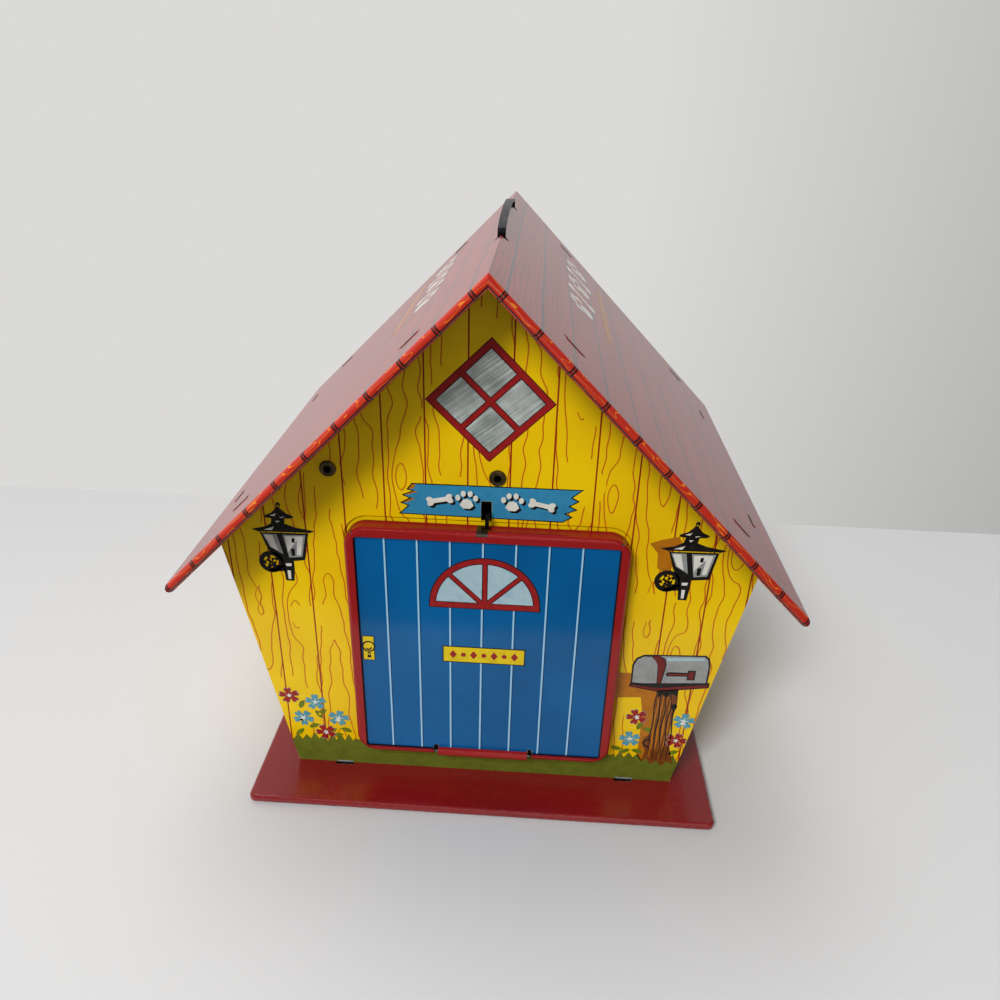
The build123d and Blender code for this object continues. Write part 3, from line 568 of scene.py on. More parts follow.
    def rolled_edge(self, tree: bpy.types.NodeTree, slant: Socket, rise: Socket) -> Socket:
        """Colour the rolled edges with ring marks and flame-like grain strokes.

        Args:
            tree: the material's node tree.
            slant: millimetres down the slope from the ridge.
            rise: millimetres above the slope's surface, below 0 on the roll.

        Returns:
            The colour of the rolled edges.
        """
        wide = add(tree, "Math", {0: slant, 1: 0.16}, operation="MULTIPLY")
        spot = add(tree, "CombineXYZ", {0: wide, 1: rise, 2: 0.0})
        hills = add(tree, "TexNoise", {"Vector": spot, "Scale": 0.55, "Detail": 1.0})
        level = add(tree, "Math", {0: hills, 1: 3.2}, operation="MULTIPLY")
        low = add(tree, "Math", {0: rise, 1: 0.3}, operation="MULTIPLY")
        level = add(tree, "Math", {0: level, 1: low}, operation="ADD")
        strokes = stripe(tree, level, 0.5, 1.0, 0.07)
        colour = ink_over(tree, linear(self.rolled), self.stroke, strokes)
        lip = within(tree, rise, -2.5, -2.0)
        colour = ink_over(tree, colour, self.lip, lip)
        ring = stripe(tree, slant, FIRST_PLANK, PLANK_PITCH, self.ring_width)
        between = stripe(tree, slant, FIRST_PLANK, PLANK_PITCH, self.ring_gap_width)
        double = add(tree, "Math", {0: ring, 1: between}, operation="SUBTRACT")
        colour = ink_over(tree, colour, self.ring_gap, between)
        return ink_over(tree, colour, self.ring, double)


@dataclass(frozen=True)
class DoorPrint:
    """Blue boards on the door's panel and the red enamel of its raised rim.

    The rim's upper corners and its keeper, where the hook rubs, are worn down to dull tin.
    """

    name: str = "lithographed door tinplate"
    blue: str = "#005F9C"
    deep: str = "#00538A"
    red: str = "#961A1A"
    line: str = "#9CCBE6"
    line_edge: str = "#0C3560"
    outline: str = "#101828"
    bare: str = "#A39E92"
    keeper_tin: str = "#6B655B"
    panel: Limits = (-42.0, 42.0, 17.4, 105.1)
    keeper: Limits = (-3.3, 0.3, 107.2, 109.4)
    board_pitch: float = 10.42
    boards_half: float = 36.0
    chips: tuple[Place, ...] = ((-42.6, 106.2, 3.4), (42.6, 106.6, 3.0), (-1.5, 106.9, 2.6),
                                (-16.0, 19.0, 1.6), (16.0, 19.0, 1.4))

    def build(self) -> bpy.types.Material:
        """Make the material."""
        material, tree = blank(self.name)
        coord = add(tree, "TexCoord").node
        axes = add(tree, "SeparateXYZ", {0: coord.outputs["Object"]}).node
        x, y, z = (add(tree, "Math", {0: axes.outputs[i], 1: 1 / MM}, operation="MULTIPLY") for i in range(3))
        left, right, low, high = self.panel
        flat = add(tree, "Math", {0: y, 1: PANEL_Y - 0.35}, operation="GREATER_THAN")
        inner = self.field(tree, x, z, (left + 0.45, right - 0.45, low + 0.45, high - 0.45))
        outer = self.field(tree, x, z, (left - 0.1, right + 0.1, low - 0.1, high + 0.1))
        outer = add(tree, "Math", {0: outer, 1: flat}, operation="MULTIPLY")
        inner = add(tree, "Math", {0: inner, 1: flat}, operation="MULTIPLY")
        place = coord.outputs["Object"]
        cloud = add(tree, "TexNoise", {"Vector": place, "Scale": 0.03 / MM, "Detail": 3.0})
        tone = add(tree, "MapRange", {"Value": cloud, "From Min": 0.35, "From Max": 0.7})
        blue = ink_over(tree, linear(self.blue), self.deep, tone)
        boards = within(tree, x, -self.boards_half, self.boards_half)
        for code, start, width in ((self.line_edge, -0.72, 0.45), (self.line, -1.15, 0.55)):
            lines = stripe(tree, x, start, self.board_pitch, width)
            blue = ink_over(tree, blue, code, add(tree, "Math", {0: lines, 1: boards}, operation="MULTIPLY"))
        colour = ink_over(tree, linear(self.red), self.outline, outer)
        colour = add(tree, "Mix", {MIX_FACTOR: inner, MIX_A: colour, MIX_B: blue}, data_type="RGBA")
        bare = self.wear(tree, place, x, z)
        keeper = self.field(tree, x, z, self.keeper)
        bare = add(tree, "Math", {0: bare, 1: keeper}, operation="MAXIMUM")
        inside = add(tree, "VectorMath", {0: coord.outputs["Normal"], 1: (0.0, 1.0, 0.0)},
                     operation="DOT_PRODUCT").node.outputs["Value"]
        inside = add(tree, "Math", {0: inside, 1: 0.6}, operation="GREATER_THAN")
        bare = add(tree, "Math", {0: bare, 1: inside}, operation="MAXIMUM")
        colour = ink_over(tree, colour, self.bare, bare)
        colour = ink_over(tree, colour, self.keeper_tin, keeper)
        rough = add(tree, "MapRange", {"Value": bare, "To Min": 0.12, "To Max": 0.42})
        Sheen(ior=VARNISH_IOR).shader(tree, colour, roughness=rough, metallic=bare)
        return material

    def field(self, tree: bpy.types.NodeTree, x: Socket, z: Socket, limits: Limits) -> Socket:
        """Find a rectangle on the door.

        Args:
            tree: the material's node tree.
            x: millimetres across.
            z: millimetres up.
            limits: left, right, low and high.

        Returns:
            1 inside the rectangle.
        """
        left, right, low, high = limits
        wide = within(tree, x, left, right)
        tall = within(tree, z, low, high)
        return add(tree, "Math", {0: wide, 1: tall}, operation="MULTIPLY")

    def wear(self, tree: bpy.types.NodeTree, place: Socket, x: Socket, z: Socket) -> Socket:
        """Find where the rim's enamel is chipped off: its top corners, its middle and the hinge.

        Args:
            tree: the material's node tree.
            place: object coordinates.
            x: millimetres across.
            z: millimetres up.

        Returns:
            1 on bare tin.
        """
        noise = add(tree, "TexNoise", {"Vector": place, "Scale": 0.9 / MM, "Detail": 5.0})
        reach = None
        for spot_x, spot_z, radius in self.chips:
            across = add(tree, "Math", {0: x, 1: spot_x}, operation="SUBTRACT")
            up = add(tree, "Math", {0: z, 1: spot_z}, operation="SUBTRACT")
            away = add(tree, "CombineXYZ", {0: across, 1: up, 2: 0.0})
            away = add(tree, "VectorMath", {0: away}, operation="LENGTH").node.outputs["Value"]
            near = add(tree, "MapRange", {"Value": away, "From Min": 0.0, "From Max": radius,
                                          "To Min": 0.22, "To Max": -0.5})
            reach = near if reach is None else add(tree, "Math", {0: reach, 1: near}, operation="MAXIMUM")
        chip = add(tree, "Math", {0: noise, 1: reach}, operation="ADD")
        return add(tree, "Math", {0: chip, 1: 0.62}, operation="GREATER_THAN")


@dataclass(frozen=True)
class Enamel:
    """Glossy enamel baked on steel or moulded stock, with faint dust and handling marks."""

    name: str
    colour: str
    shade: str
    roughness: float = 0.2
    coat: float = 0.8

    def build(self) -> bpy.types.Material:
        """Make the material."""
        material, tree = blank(self.name)
        place = add(tree, "TexCoord").node.outputs["Object"]
        cloud = add(tree, "TexNoise", {"Vector": place, "Scale": 0.02 / MM, "Detail": 5.0})
        mask = add(tree, "MapRange", {"Value": cloud, "From Min": 0.38, "From Max": 0.72})
        colour = ink_over(tree, linear(self.colour), self.shade, mask)
        dust = add(tree, "TexNoise", {"Vector": place, "Scale": 0.5 / MM, "Detail": 4.0})
        rough = add(tree, "MapRange", {"Value": dust, "From Min": 0.4, "From Max": 0.75,
                                       "To Min": self.roughness, "To Max": self.roughness + 0.14})
        relief = add(tree, "Bump", {"Height": cloud, "Strength": 0.1, "Distance": 0.3 * MM})
        Sheen(coat=self.coat, coat_roughness=0.08).shader(tree, colour, bump=relief, roughness=rough)
        return material


@dataclass
class Palette:
    """Every finish of the money box, made once and handed to the pieces."""

    made: dict[str, bpy.types.Material] = field(default_factory=dict)

    def mix(self) -> None:
        """Make all the finishes."""
        finishes = [
            *(PlankPrint(wall) for wall in Wall),
            RoofPrint(),
            DoorPrint(),
            Enamel("enamelled base tinplate", "#861618", "#7A1416", coat=0.25),
            Enamel("painted composition coat", "#B98A55", "#9C6E3E", roughness=0.42, coat=0.2),
            Enamel("enamelled collar", "#A81A1C", "#8C1214"),
            Enamel("enamelled eye", "#161412", "#201C1A", roughness=0.12),
            Metal("bare tinplate", "#C9C6BC", "#8F8C80"),
            Metal("brushed window tinplate", "#EEF6F2", "#8F9892", roughness=0.4, streak=(0.05, 1.5),
                  turn=-0.908, metallic=0.45),
            Metal("blued spring steel", "#3A3A3E", "#17171A", 0.36),
            Metal("drawn steel wire", "#A8A6A0", "#6E6B66", 0.3),
            Metal("dulled brass-plated rivet steel", "#8A7650", "#3E3424", 0.4),
            Ink("lithographed black ink", "#141210", "#201C18"),
            Ink("lithographed red ink", "#9C1E1E", "#8C1A1A"),
            Ink("lithographed sky-blue ink", "#3489B2", "#2E80A8"),
            Ink("lithographed pale-blue ink", "#A9C3CC", "#9BB8C4"),
            Ink("lithographed white ink", "#E4E2D8", "#D6D4C8"),
            Ink("lithographed grey ink", "#9A9C9A", "#888A88"),
            Ink("lithographed green ink", "#667022", "#59641C"),
            Ink("lithographed leaf ink", "#6E7E14", "#5C6C10"),
            Ink("lithographed yellow ink", "#E6C80E", "#D8B808"),
            Ink("lithographed tan ink", "#B8700C", "#A8640A"),
            Ink("lithographed brown ink", "#7C4416", "#6A3812"),
            Ink("lithographed maroon ink", "#74201A", "#661A16"),
            Ink("lithographed petal-blue ink", "#549CAC", "#4A90A2"),
        ]
        for finish in finishes:
            self.made[finish.name] = finish.build()

    def __getitem__(self, name: str) -> bpy.types.Material:
        """Return the finish whose name ends with these words."""
        return next(made for key, made in self.made.items() if key.endswith(name))


@dataclass(frozen=True)
class Plane:
    """A flat place on the sheet metal that artwork is printed on."""

    origin: Vector
    right: Vector
    up: Vector
    body: str

    def matrix(self, lift: float) -> Matrix:
        """Return the placing of drawn millimetres, lifted off the sheet by so many millimetres."""
        out = self.right.cross(self.up)
        start = (self.origin + out * lift) * MM
        rows = [(self.right[i] * MM, self.up[i] * MM, out[i] * MM, start[i]) for i in range(3)]
        return Matrix((*rows, (0, 0, 0, 1)))


FRONT_PRINT = Plane(Vector((0, FRONT_Y, 0)), Vector((1, 0, 0)), Vector((0, 0, 1)), "house")
REAR_PRINT = Plane(Vector((0, REAR_Y, 0)), Vector((-1, 0, 0)), Vector((0, 0, 1)), "house")
DOOR_PRINT = Plane(Vector((0, PANEL_Y, 0)), Vector((1, 0, 0)), Vector((0, 0, 1)), "door")


def slope_print(side: int) -> Plane:
    """Return the roof slope's plane, drawn with its rows running up to the ridge."""
    up = Vector((-side, 0, 1)).normalized()
    return Plane(Vector((0, 0, RIDGE_Z)), Vector((0, side, 0)), up, "house")


def side_print(side: int) -> Plane:
    """Return the side wall's outer face."""
    up = Vector((side * WALL_LEAN, 0, 1)).normalized()
    return Plane(Vector((side * FOOT_HALF, 0, BASE_TOP)), Vector((0, side, 0)), up, "house")


def deselect() -> None:
    """Leave nothing selected and no object in edit mode."""
    if bpy.context.object and bpy.context.object.mode != "OBJECT":
        bpy.ops.object.mode_set(mode="OBJECT")
    bpy.ops.object.select_all(action="DESELECT")


def print_shapes(name: str, loops: Iterable[Sequence[Point]], plane: Plane, layer: int,
                 material: bpy.types.Material) -> None:
    """Print closed outlines in one ink.

    Args:
        name: the piece's name.
        loops: closed outlines in millimetres; one inside another leaves a hole.
        plane: the sheet they are printed on.
        layer: how many inks lie below, counted from 1.
        material: the ink.
    """
    deselect()
    curve = bpy.data.curves.new(name, "CURVE")
    curve.dimensions = "2D"
    curve.fill_mode = "BOTH"
    curve.extrude = INK_STEP * 0.45
    for loop in loops:
        spline = curve.splines.new("POLY")
        spline.points.add(len(loop) - 1)
        for knot, (x, y) in zip(spline.points, loop):
            knot.co = (x, y, 0, 1)
        spline.use_cyclic_u = True
    piece = bpy.data.objects.new(name, curve)
    bpy.context.collection.objects.link(piece)
    piece.select_set(True)
    bpy.context.view_layer.objects.active = piece
    bpy.ops.object.convert(target="MESH")
    piece = bpy.context.object
    bpy.ops.object.mode_set(mode="EDIT")
    bpy.ops.mesh.select_all(action="SELECT")
    bpy.ops.mesh.remove_doubles(threshold=0.001)
    bpy.ops.mesh.normals_make_consistent(inside=False)
    bpy.ops.object.mode_set(mode="OBJECT")
    piece.matrix_world = plane.matrix(INK_STEP * (layer - 0.5))
    bpy.ops.object.transform_apply(location=True, rotation=True, scale=True)
    piece.data.materials.clear()
    piece.data.materials.append(material)
    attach(piece, plane.body)
    LOG.info("printed %s", name)


# ---- drawing in millimetres ---------------------------------------------------------------
def moved(points: Iterable[Point], x: float, y: float, scale: float = 1.0, turn: float = 0.0) -> list[Point]:
    """Return points scaled, turned by so many degrees and moved."""
    cos, sin = math.cos(math.radians(turn)) * scale, math.sin(math.radians(turn)) * scale
    return [(x + px * cos - py * sin, y + px * sin + py * cos) for px, py in points]


def disc(x: float, y: float, rx: float, ry: float | None = None, count: int = 24) -> list[Point]:
    """Return a circle or an ellipse as a closed outline."""
    ry = rx if ry is None else ry
    turns = [2 * math.pi * i / count for i in range(count)]
    return [(x + rx * math.cos(a), y + ry * math.sin(a)) for a in turns]


def bar(start: Point, end: Point, width: float) -> list[Point]:
    """Return a straight bar between two points."""
    dx, dy = end[0] - start[0], end[1] - start[1]
    length = math.hypot(dx, dy)
    nx, ny = -dy / length * width / 2, dx / length * width / 2
    return [(start[0] + nx, start[1] + ny), (start[0] - nx, start[1] - ny),
            (end[0] - nx, end[1] - ny), (end[0] + nx, end[1] + ny)]


def grown(points: Sequence[Point], amount: float) -> list[Point]:
    """Return a counter-clockwise outline moved outwards all round, with blunt corners."""
    result = []
    for i, (x, y) in enumerate(points):
        before, after = Vector(points[i - 1]), Vector(points[(i + 1) % len(points)])
        first, second = (Vector((x, y)) - before).normalized(), (after - Vector((x, y))).normalized()
        out = Vector((first.y + second.y, -first.x - second.x)).normalized()
        reach = amount / max(0.45, abs(out.dot(Vector((first.y, -first.x)))))
        result.append((x + out.x * reach, y + out.y * reach))
    return result


def box_outline(left: float, right: float, low: float, high: float) -> list[Point]:
    """Return a rectangle."""
    return [(left, low), (right, low), (right, high), (left, high)]


def wavy(start: Point, end: Point, width: float, sway: float, seed: int) -> list[Point]:
    """Return a hand-drawn tapering stroke between two points."""
    chance = random.Random(seed)
    dx, dy = end[0] - start[0], end[1] - start[1]
    length = math.hypot(dx, dy)
    nx, ny = -dy / length, dx / length
    steps = max(3, int(length / 3.5))
    middle = []
    for i in range(steps + 1):
        drift = sway * math.sin(i * 1.3 + seed) * chance.uniform(0.5, 1.0)
        share = i / steps
        middle.append((start[0] + dx * share + nx * drift, start[1] + dy * share + ny * drift))
    half = [width / 2 * math.sin(math.pi * (0.12 + 0.76 * i / steps)) for i in range(steps + 1)]
    one = [(x + nx * h, y + ny * h) for (x, y), h in zip(middle, half)]
    other = [(x - nx * h, y - ny * h) for (x, y), h in zip(middle, half)]
    return one + other[::-1]


@dataclass
class GableWindow:
    """The diamond window: a red frame and cross over four panes left as bare tin."""

    centre: Point = (0.0, 149.3)
    reach: float = 18.9
    frame: float = 2.1
    cross: float = 1.05

    def diamond(self, reach: float, x: float = 0.0, y: float = 0.0) -> list[Point]:
        """Return a square standing on its corner."""
        cx, cy = self.centre[0] + x, self.centre[1] + y
        return [(cx, cy - reach), (cx + reach, cy), (cx, cy + reach), (cx - reach, cy)]

    def build(self, palette: Palette) -> None:
        """Print the window.

        Args:
            palette: the finishes.
        """
        step = math.sqrt(2)
        inner = self.reach - self.frame * step
        shift = (inner + self.cross * step) / 2
        pane = (inner - self.cross * step) / 2
        places = [(0, shift), (shift, 0), (0, -shift), (-shift, 0)]
        print_shapes("gable_window_outline", [self.diamond(self.reach + 0.35)], FRONT_PRINT, 1,
                     palette["black ink"])
        print_shapes("gable_window_frame", [self.diamond(self.reach)], FRONT_PRINT, 2, palette["red ink"])
        edges = [self.diamond(pane + 0.4, x, y) for x, y in places]
        print_shapes("gable_window_pane_edges", edges, FRONT_PRINT, 3, palette["black ink"])
        panes = [self.diamond(pane, x, y) for x, y in places]
        print_shapes("gable_window_panes", panes, FRONT_PRINT, 4, palette["brushed window tinplate"])


@dataclass
class NameSign:
    """The sky-blue ribbon over the door, with bones and paws instead of a name."""

    left: tuple[Point, ...] = ((-23.7, 121.4), (-24.9, 119.7), (-22.9, 119.2), (-26.3, 117.6),
                               (-23.9, 116.6), (-26.9, 114.9), (-24.6, 114.0), (-27.4, 111.2))
    right: tuple[Point, ...] = ((23.2, 110.8), (25.6, 112.4), (23.4, 113.6), (26.9, 115.1),
                                (24.6, 116.2), (27.4, 118.0), (25.2, 119.2), (28.4, 121.8))
    edge: float = 0.4
    shadow: Point = (0.75, -0.7)

    def bone(self, x: float, y: float, turn: float, size: float = 1.0) -> list[Point]:
        """Return a bone: a shaft with two knobs at each end."""
        quarter = [(1.6, 0.62), (2.1, 1.2), (2.9, 1.3), (3.35, 0.8), (3.1, 0.0)]
        lower = [(px, -py) for px, py in reversed(quarter[:-1])]
        end = quarter + lower
        other = [(-px, -py) for px, py in end]
        return moved(end + other, x, y, size, turn)

    def paw(self, x: float, y: float, size: float = 1.0) -> list[list[Point]]:
        """Return a paw mark: one pad and four toes."""
        toes = [(-1.9, 0.9), (-0.75, 1.9), (0.75, 1.9), (1.9, 0.9)]
        pad = [(-1.5, -0.9), (-0.9, 0.35), (0.0, 0.75), (0.9, 0.35), (1.5, -0.9), (0.7, -1.65), (-0.7, -1.65)]
        marks = [moved(pad, x, y, size)]
        marks += [disc(x + tx * size, y + ty * size, 0.55 * size, 0.72 * size, 12) for tx, ty in toes]
        return marks

    def ornaments(self, dx: float, dy: float) -> list[list[Point]]:
        """Return the row of bones and paws, moved a little."""
        row = [self.bone(-15.2 + dx, 116.4 + dy, 12, 1.25), self.bone(16.6 + dx, 116.2 + dy, -12, 1.25)]
        return row + self.paw(-6.8 + dx, 116.2 + dy, 1.45) + self.paw(7.4 + dx, 116.1 + dy, 1.45)

    def notched(self, ribbon: list[Point]) -> list[Point]:
        """Return the ribbon with the latch's slot cut up into its lower edge."""
        first, last, _, top = LATCH_SLOT
        low = len(self.left)
        (x0, y0), (x1, y1) = ribbon[low - 1], ribbon[low]
        edge = [(x, y0 + (y1 - y0) * (x - x0) / (x1 - x0)) for x in (first, last)]
        return [*ribbon[:low], edge[0], (first, top), (last, top), edge[1], *ribbon[low:]]

    def build(self, palette: Palette) -> None:
        """Print the sign.

        Args:
            palette: the finishes.
        """
        ribbon = [*self.left, *self.right]
        outline = self.notched(grown(ribbon, self.edge))
        print_shapes("name_sign_outline", [outline], FRONT_PRINT, 1, palette["black ink"])
        print_shapes("name_sign_ribbon", [self.notched(ribbon)], FRONT_PRINT, 2, palette["sky-blue ink"])
        folds = []
        for (x0, y0), (x1, y1) in zip(self.left[0:6:2], self.left[1:6:2]):
            folds.append([(x0, y0), (x1, y1), (x1 + 1.5, y1 + 0.2), (x0 + 1.1, y0 - 0.1)])
        print_shapes("name_sign_torn_edge", folds, FRONT_PRINT, 3, palette["tan ink"])
        print_shapes("name_sign_shadows", self.ornaments(*self.shadow), FRONT_PRINT, 3, palette["black ink"])
        print_shapes("name_sign_ornaments", self.ornaments(0.0, 0.0), FRONT_PRINT, 4, palette["white ink"])


@dataclass
class CarriageLamp:
    """A printed carriage lamp on its scroll bracket, drawn from its finial down."""

    name: str
    finial: Point
    body_shift: float
    foot_shift: float
    shadow: bool = False
    foot_top: float = -20.5
    hub: Point = (-1.55, -21.6)
    spokes: tuple[float, ...] = (0.6, 1.9, 3.2, 4.3, 5.4)
    cap: tuple[Point, ...] = ((0.0, -0.2), (0.7, -1.5), (2.6, -3.2), (5.2, -4.3), (4.6, -5.0), (2.2, -5.2),
                              (2.3, -7.0), (5.6, -8.2), (12.0, -9.3), (9.6, -10.3), (-5.4, -10.6),
                              (-8.8, -9.5), (-4.2, -8.4), (-2.1, -7.1), (-2.0, -5.2), (-4.0, -5.0),
                              (-4.3, -4.3), (-2.0, -3.2), (-0.7, -1.5))
    cage: tuple[Point, ...] = ((-6.1, -10.2), (9.8, -10.0), (7.9, -20.3), (6.0, -20.9), (6.0, -24.0),
                               (5.5, -28.6), (2.7, -28.6), (2.3, -24.2), (2.0, -21.2), (-4.0, -16.8))

    def at(self, points: Iterable[Point]) -> list[Point]:
        """Return points measured from the finial, placed on the wall with the lamp's own shifts."""
        shifted = []
        for x, y in points:
            shift = self.foot_shift if y < self.foot_top else self.body_shift * min(1.0, abs(y) / 8)
            shifted.append((x + shift, y))
        return moved(shifted, *self.finial)

    def ink(self, part: str, shapes: Iterable[Sequence[Point]], layer: int, material: bpy.types.Material,
            placed: Iterable[Sequence[Point]] = ()) -> None:
        """Print one part of the lamp.

        Args:
            part: the part's name, after the lamp's own.
            shapes: outlines measured from the finial.
            layer: how many inks lie below, counted from 1.
            material: the ink.
            placed: more outlines, already placed on the wall.
        """
        loops = [*(self.at(shape) for shape in shapes), *placed]
        print_shapes(f"{self.name}_{part}", loops, FRONT_PRINT, layer, material)

    def build(self, palette: Palette) -> None:
        """Print the lamp.

        Args:
            palette: the finishes.
        """
        if self.shadow:
            cast = [(-12.2, -8.0), (-8.8, -6.4), (-4.0, -5.0), (-2.0, -8.0), (-5.2, -10.2), (-4.0, -16.0),
                    (-6.4, -18.4), (-9.0, -17.0), (-9.4, -11.4)]
            self.ink("shadow", [cast], 1, palette["tan ink"])
        black, white = palette["black ink"], palette["white ink"]
        hub = self.at([self.hub])[0]
        ball = disc(self.finial[0], self.finial[1] - 0.2, 0.75, 0.85, 12)
        self.ink("iron", [self.cap, self.cage], 2, black, placed=[ball])
        wheel = [disc(*hub, 4.1), disc(*hub, 2.55)]
        spokes = [bar(hub, (hub[0] + 3.2 * math.cos(a), hub[1] + 3.2 * math.sin(a)), 1.15)
                  for a in self.spokes]
        self.ink("scroll", [], 2, black, placed=wheel)
        self.ink("scroll_spokes", [], 3, black, placed=[*spokes, disc(*hub, 1.7)])
        self.ink("arm", [[(-3.0, -25.4), (2.8, -25.0), (2.8, -22.8), (-0.4, -22.6)]], 2, black)
        panes = [[(-5.2, -11.0), (-0.5, -11.0), (0.9, -18.4), (-3.2, -15.9)],
                 [(1.3, -11.1), (8.8, -10.9), (7.1, -19.1), (2.8, -19.6)]]
        self.ink("glass", panes, 3, palette["grey ink"])
        shine = [[(-4.7, -11.4), (-2.0, -11.4), (-0.6, -17.2), (-2.8, -15.8)],
                 [(2.0, -11.6), (8.0, -11.4), (6.7, -18.4), (5.4, -18.6), (5.9, -13.0), (2.6, -17.5)]]
        self.ink("shine", shine, 4, white)
        candle = [[(4.2, -12.2), (5.2, -12.2), (5.1, -13.9), (4.1, -13.8)],
                  [(3.6, -16.2), (4.9, -16.0), (4.8, -18.8), (3.7, -18.9)]]
        self.ink("candle", candle, 5, black)
        glints = [[(-2.6, -4.2), (-0.6, -3.4), (-1.0, -4.4)], [(0.6, -4.7), (2.4, -4.4), (1.2, -5.0)],
                  [(-4.6, -9.5), (-1.2, -8.3), (-2.0, -9.6)], [(-0.7, -6.1), (0.7, -6.0), (0.0, -6.8)],
                  [(3.5, -24.6), (4.6, -24.6), (4.5, -27.9), (3.6, -27.9)],
                  [(3.2, -21.9), (5.2, -21.8), (4.9, -22.9), (3.3, -22.9)]]
        self.ink("glints", glints, 3, white)


@dataclass
class Mailbox:
    """The printed mailbox on its wooden post, with the shadow that it casts on the boards."""

    left: float = 50.6
    base: float = 48.0

    def ink(self, name: str, shapes: Iterable[Sequence[Point]], layer: int,
            material: bpy.types.Material) -> None:
        """Print one part of the mailbox or its post.

        Args:
            name: the piece's name.
            shapes: outlines measured from the box's lower left corner.
            layer: how many inks lie below, counted from 1.
            material: the ink.
        """
        loops = [moved(shape, self.left, self.base) for shape in shapes]
        print_shapes(name, loops, FRONT_PRINT, layer, material)

    def build(self, palette: Palette) -> None:
        """Print the mailbox, its flag and its post.

        Args:
            palette: the finishes.
        """
        black, maroon = palette["black ink"], palette["maroon ink"]
        cast = [(-4.9, 4.8), (1.0, 4.8), (1.0, 0.0), (9.6, -1.6), (9.6, -33.0), (7.6, -36.0), (5.6, -33.0),
                (5.6, -14.0), (4.2, -5.6), (-4.9, -6.4)]
        self.ink("mailbox_shadow", [cast], 1, palette["tan ink"])
        body = [(0.0, 0.2), (-0.2, 8.4), (0.9, 11.4), (3.4, 13.0), (24.2, 14.0), (25.6, 12.6), (26.2, 9.4),
                (26.2, 1.4), (9.8, -0.4)]
        self.ink("mailbox_outline", [body], 2, black)
        front = [(0.5, 0.9), (0.4, 8.2), (1.4, 10.8), (3.4, 12.2), (6.2, 12.3), (8.3, 9.8), (8.9, 0.4)]
        side = [(10.4, 0.5), (11.4, 9.0), (10.8, 11.6), (8.9, 12.8), (23.8, 13.4), (25.0, 12.2), (25.6, 9.2),
                (25.6, 2.0)]
        self.ink("mailbox_tin", [front, side], 3, palette["grey ink"])
        mouth = [(6.0, 12.2), (8.4, 12.8), (10.6, 11.2), (11.0, 8.8), (10.0, 0.6), (9.2, 0.6), (8.6, 8.2),
                 (7.6, 10.6)]
        self.ink("mailbox_mouth", [mouth], 4, maroon)
        light = [(11.0, 12.2), (23.4, 12.9), (24.4, 11.9), (11.4, 10.9)]
        self.ink("mailbox_light", [light], 4, palette["pale-blue ink"])
        flag_edge = [(11.5, 5.0), (12.0, 6.0), (13.4, 6.2), (18.9, 6.3), (18.9, 7.3), (21.6, 7.4),
                     (21.6, 3.2), (18.9, 3.1), (18.9, 4.7), (13.4, 4.4), (12.2, 4.3)]
        flag = [(12.0, 5.1), (12.4, 5.6), (19.4, 5.8), (19.4, 6.8), (21.1, 6.9), (21.1, 3.7), (19.4, 3.6),
                (19.4, 5.2), (12.5, 4.8)]
        self.ink("mailbox_flag_edge", [flag_edge], 4, black)
        self.ink("mailbox_flag", [flag], 5, maroon)
        board_edge = [(-0.4, 0.4), (26.9, 2.4), (26.9, 0.2), (9.4, -2.6), (-0.4, -1.0)]
        board = [(0.1, -0.1), (9.6, -1.0), (26.4, 1.6), (26.4, 0.6), (9.4, -2.1), (0.1, -0.7)]
        self.ink("mailbox_board_edge", [board_edge], 5, black)
        self.ink("mailbox_board", [board], 6, maroon)
        self.post(palette)

    def post(self, palette: Palette) -> None:
        """Print the wooden post with its bark lines and knots."""
        black = palette["black ink"]
        trunk = [(9.3, -1.9), (16.9, -0.6), (16.6, -6.4), (17.3, -9.0), (16.1, -12.6), (16.0, -24.0),
                 (17.4, -30.4), (19.0, -36.2), (16.6, -35.0), (14.8, -37.4), (12.8, -35.0), (10.8, -37.0),
                 (9.0, -34.0), (7.4, -36.0), (8.2, -30.2), (6.6, -26.8), (7.4, -24.0), (9.4, -22.4),
                 (9.7, -12.0)]
        self.ink("post_bark", [trunk], 3, palette["brown ink"])
        lit = [wavy((10.3 + i * 1.55, -4.6), (9.9 + i * 1.62, -33.2 + (i % 2) * 2.4), 0.85, 0.32, i)
               for i in range(4)]
        self.ink("post_grain", lit, 4, palette["tan ink"])
        dark = [wavy((9.5 + i * 1.75, -2.8), (9.2 + i * 1.8, -34.4), 0.5, 0.4, 9 + i) for i in range(5)]
        knots = [disc(8.6, -26.6, 1.5, 1.9, 14), disc(8.6, -26.6, 1.0, 1.3, 14),
                 disc(16.0, -9.0, 1.0, 1.3, 12)]
        self.ink("post_lines", [*dark, *knots], 5, black)
        shade = [(9.5, -1.9), (16.8, -0.8), (16.5, -4.4), (14.6, -3.0), (13.0, -5.0), (11.3, -3.6),
                 (10.2, -5.4)]
        self.ink("post_shade", [shade], 5, black)


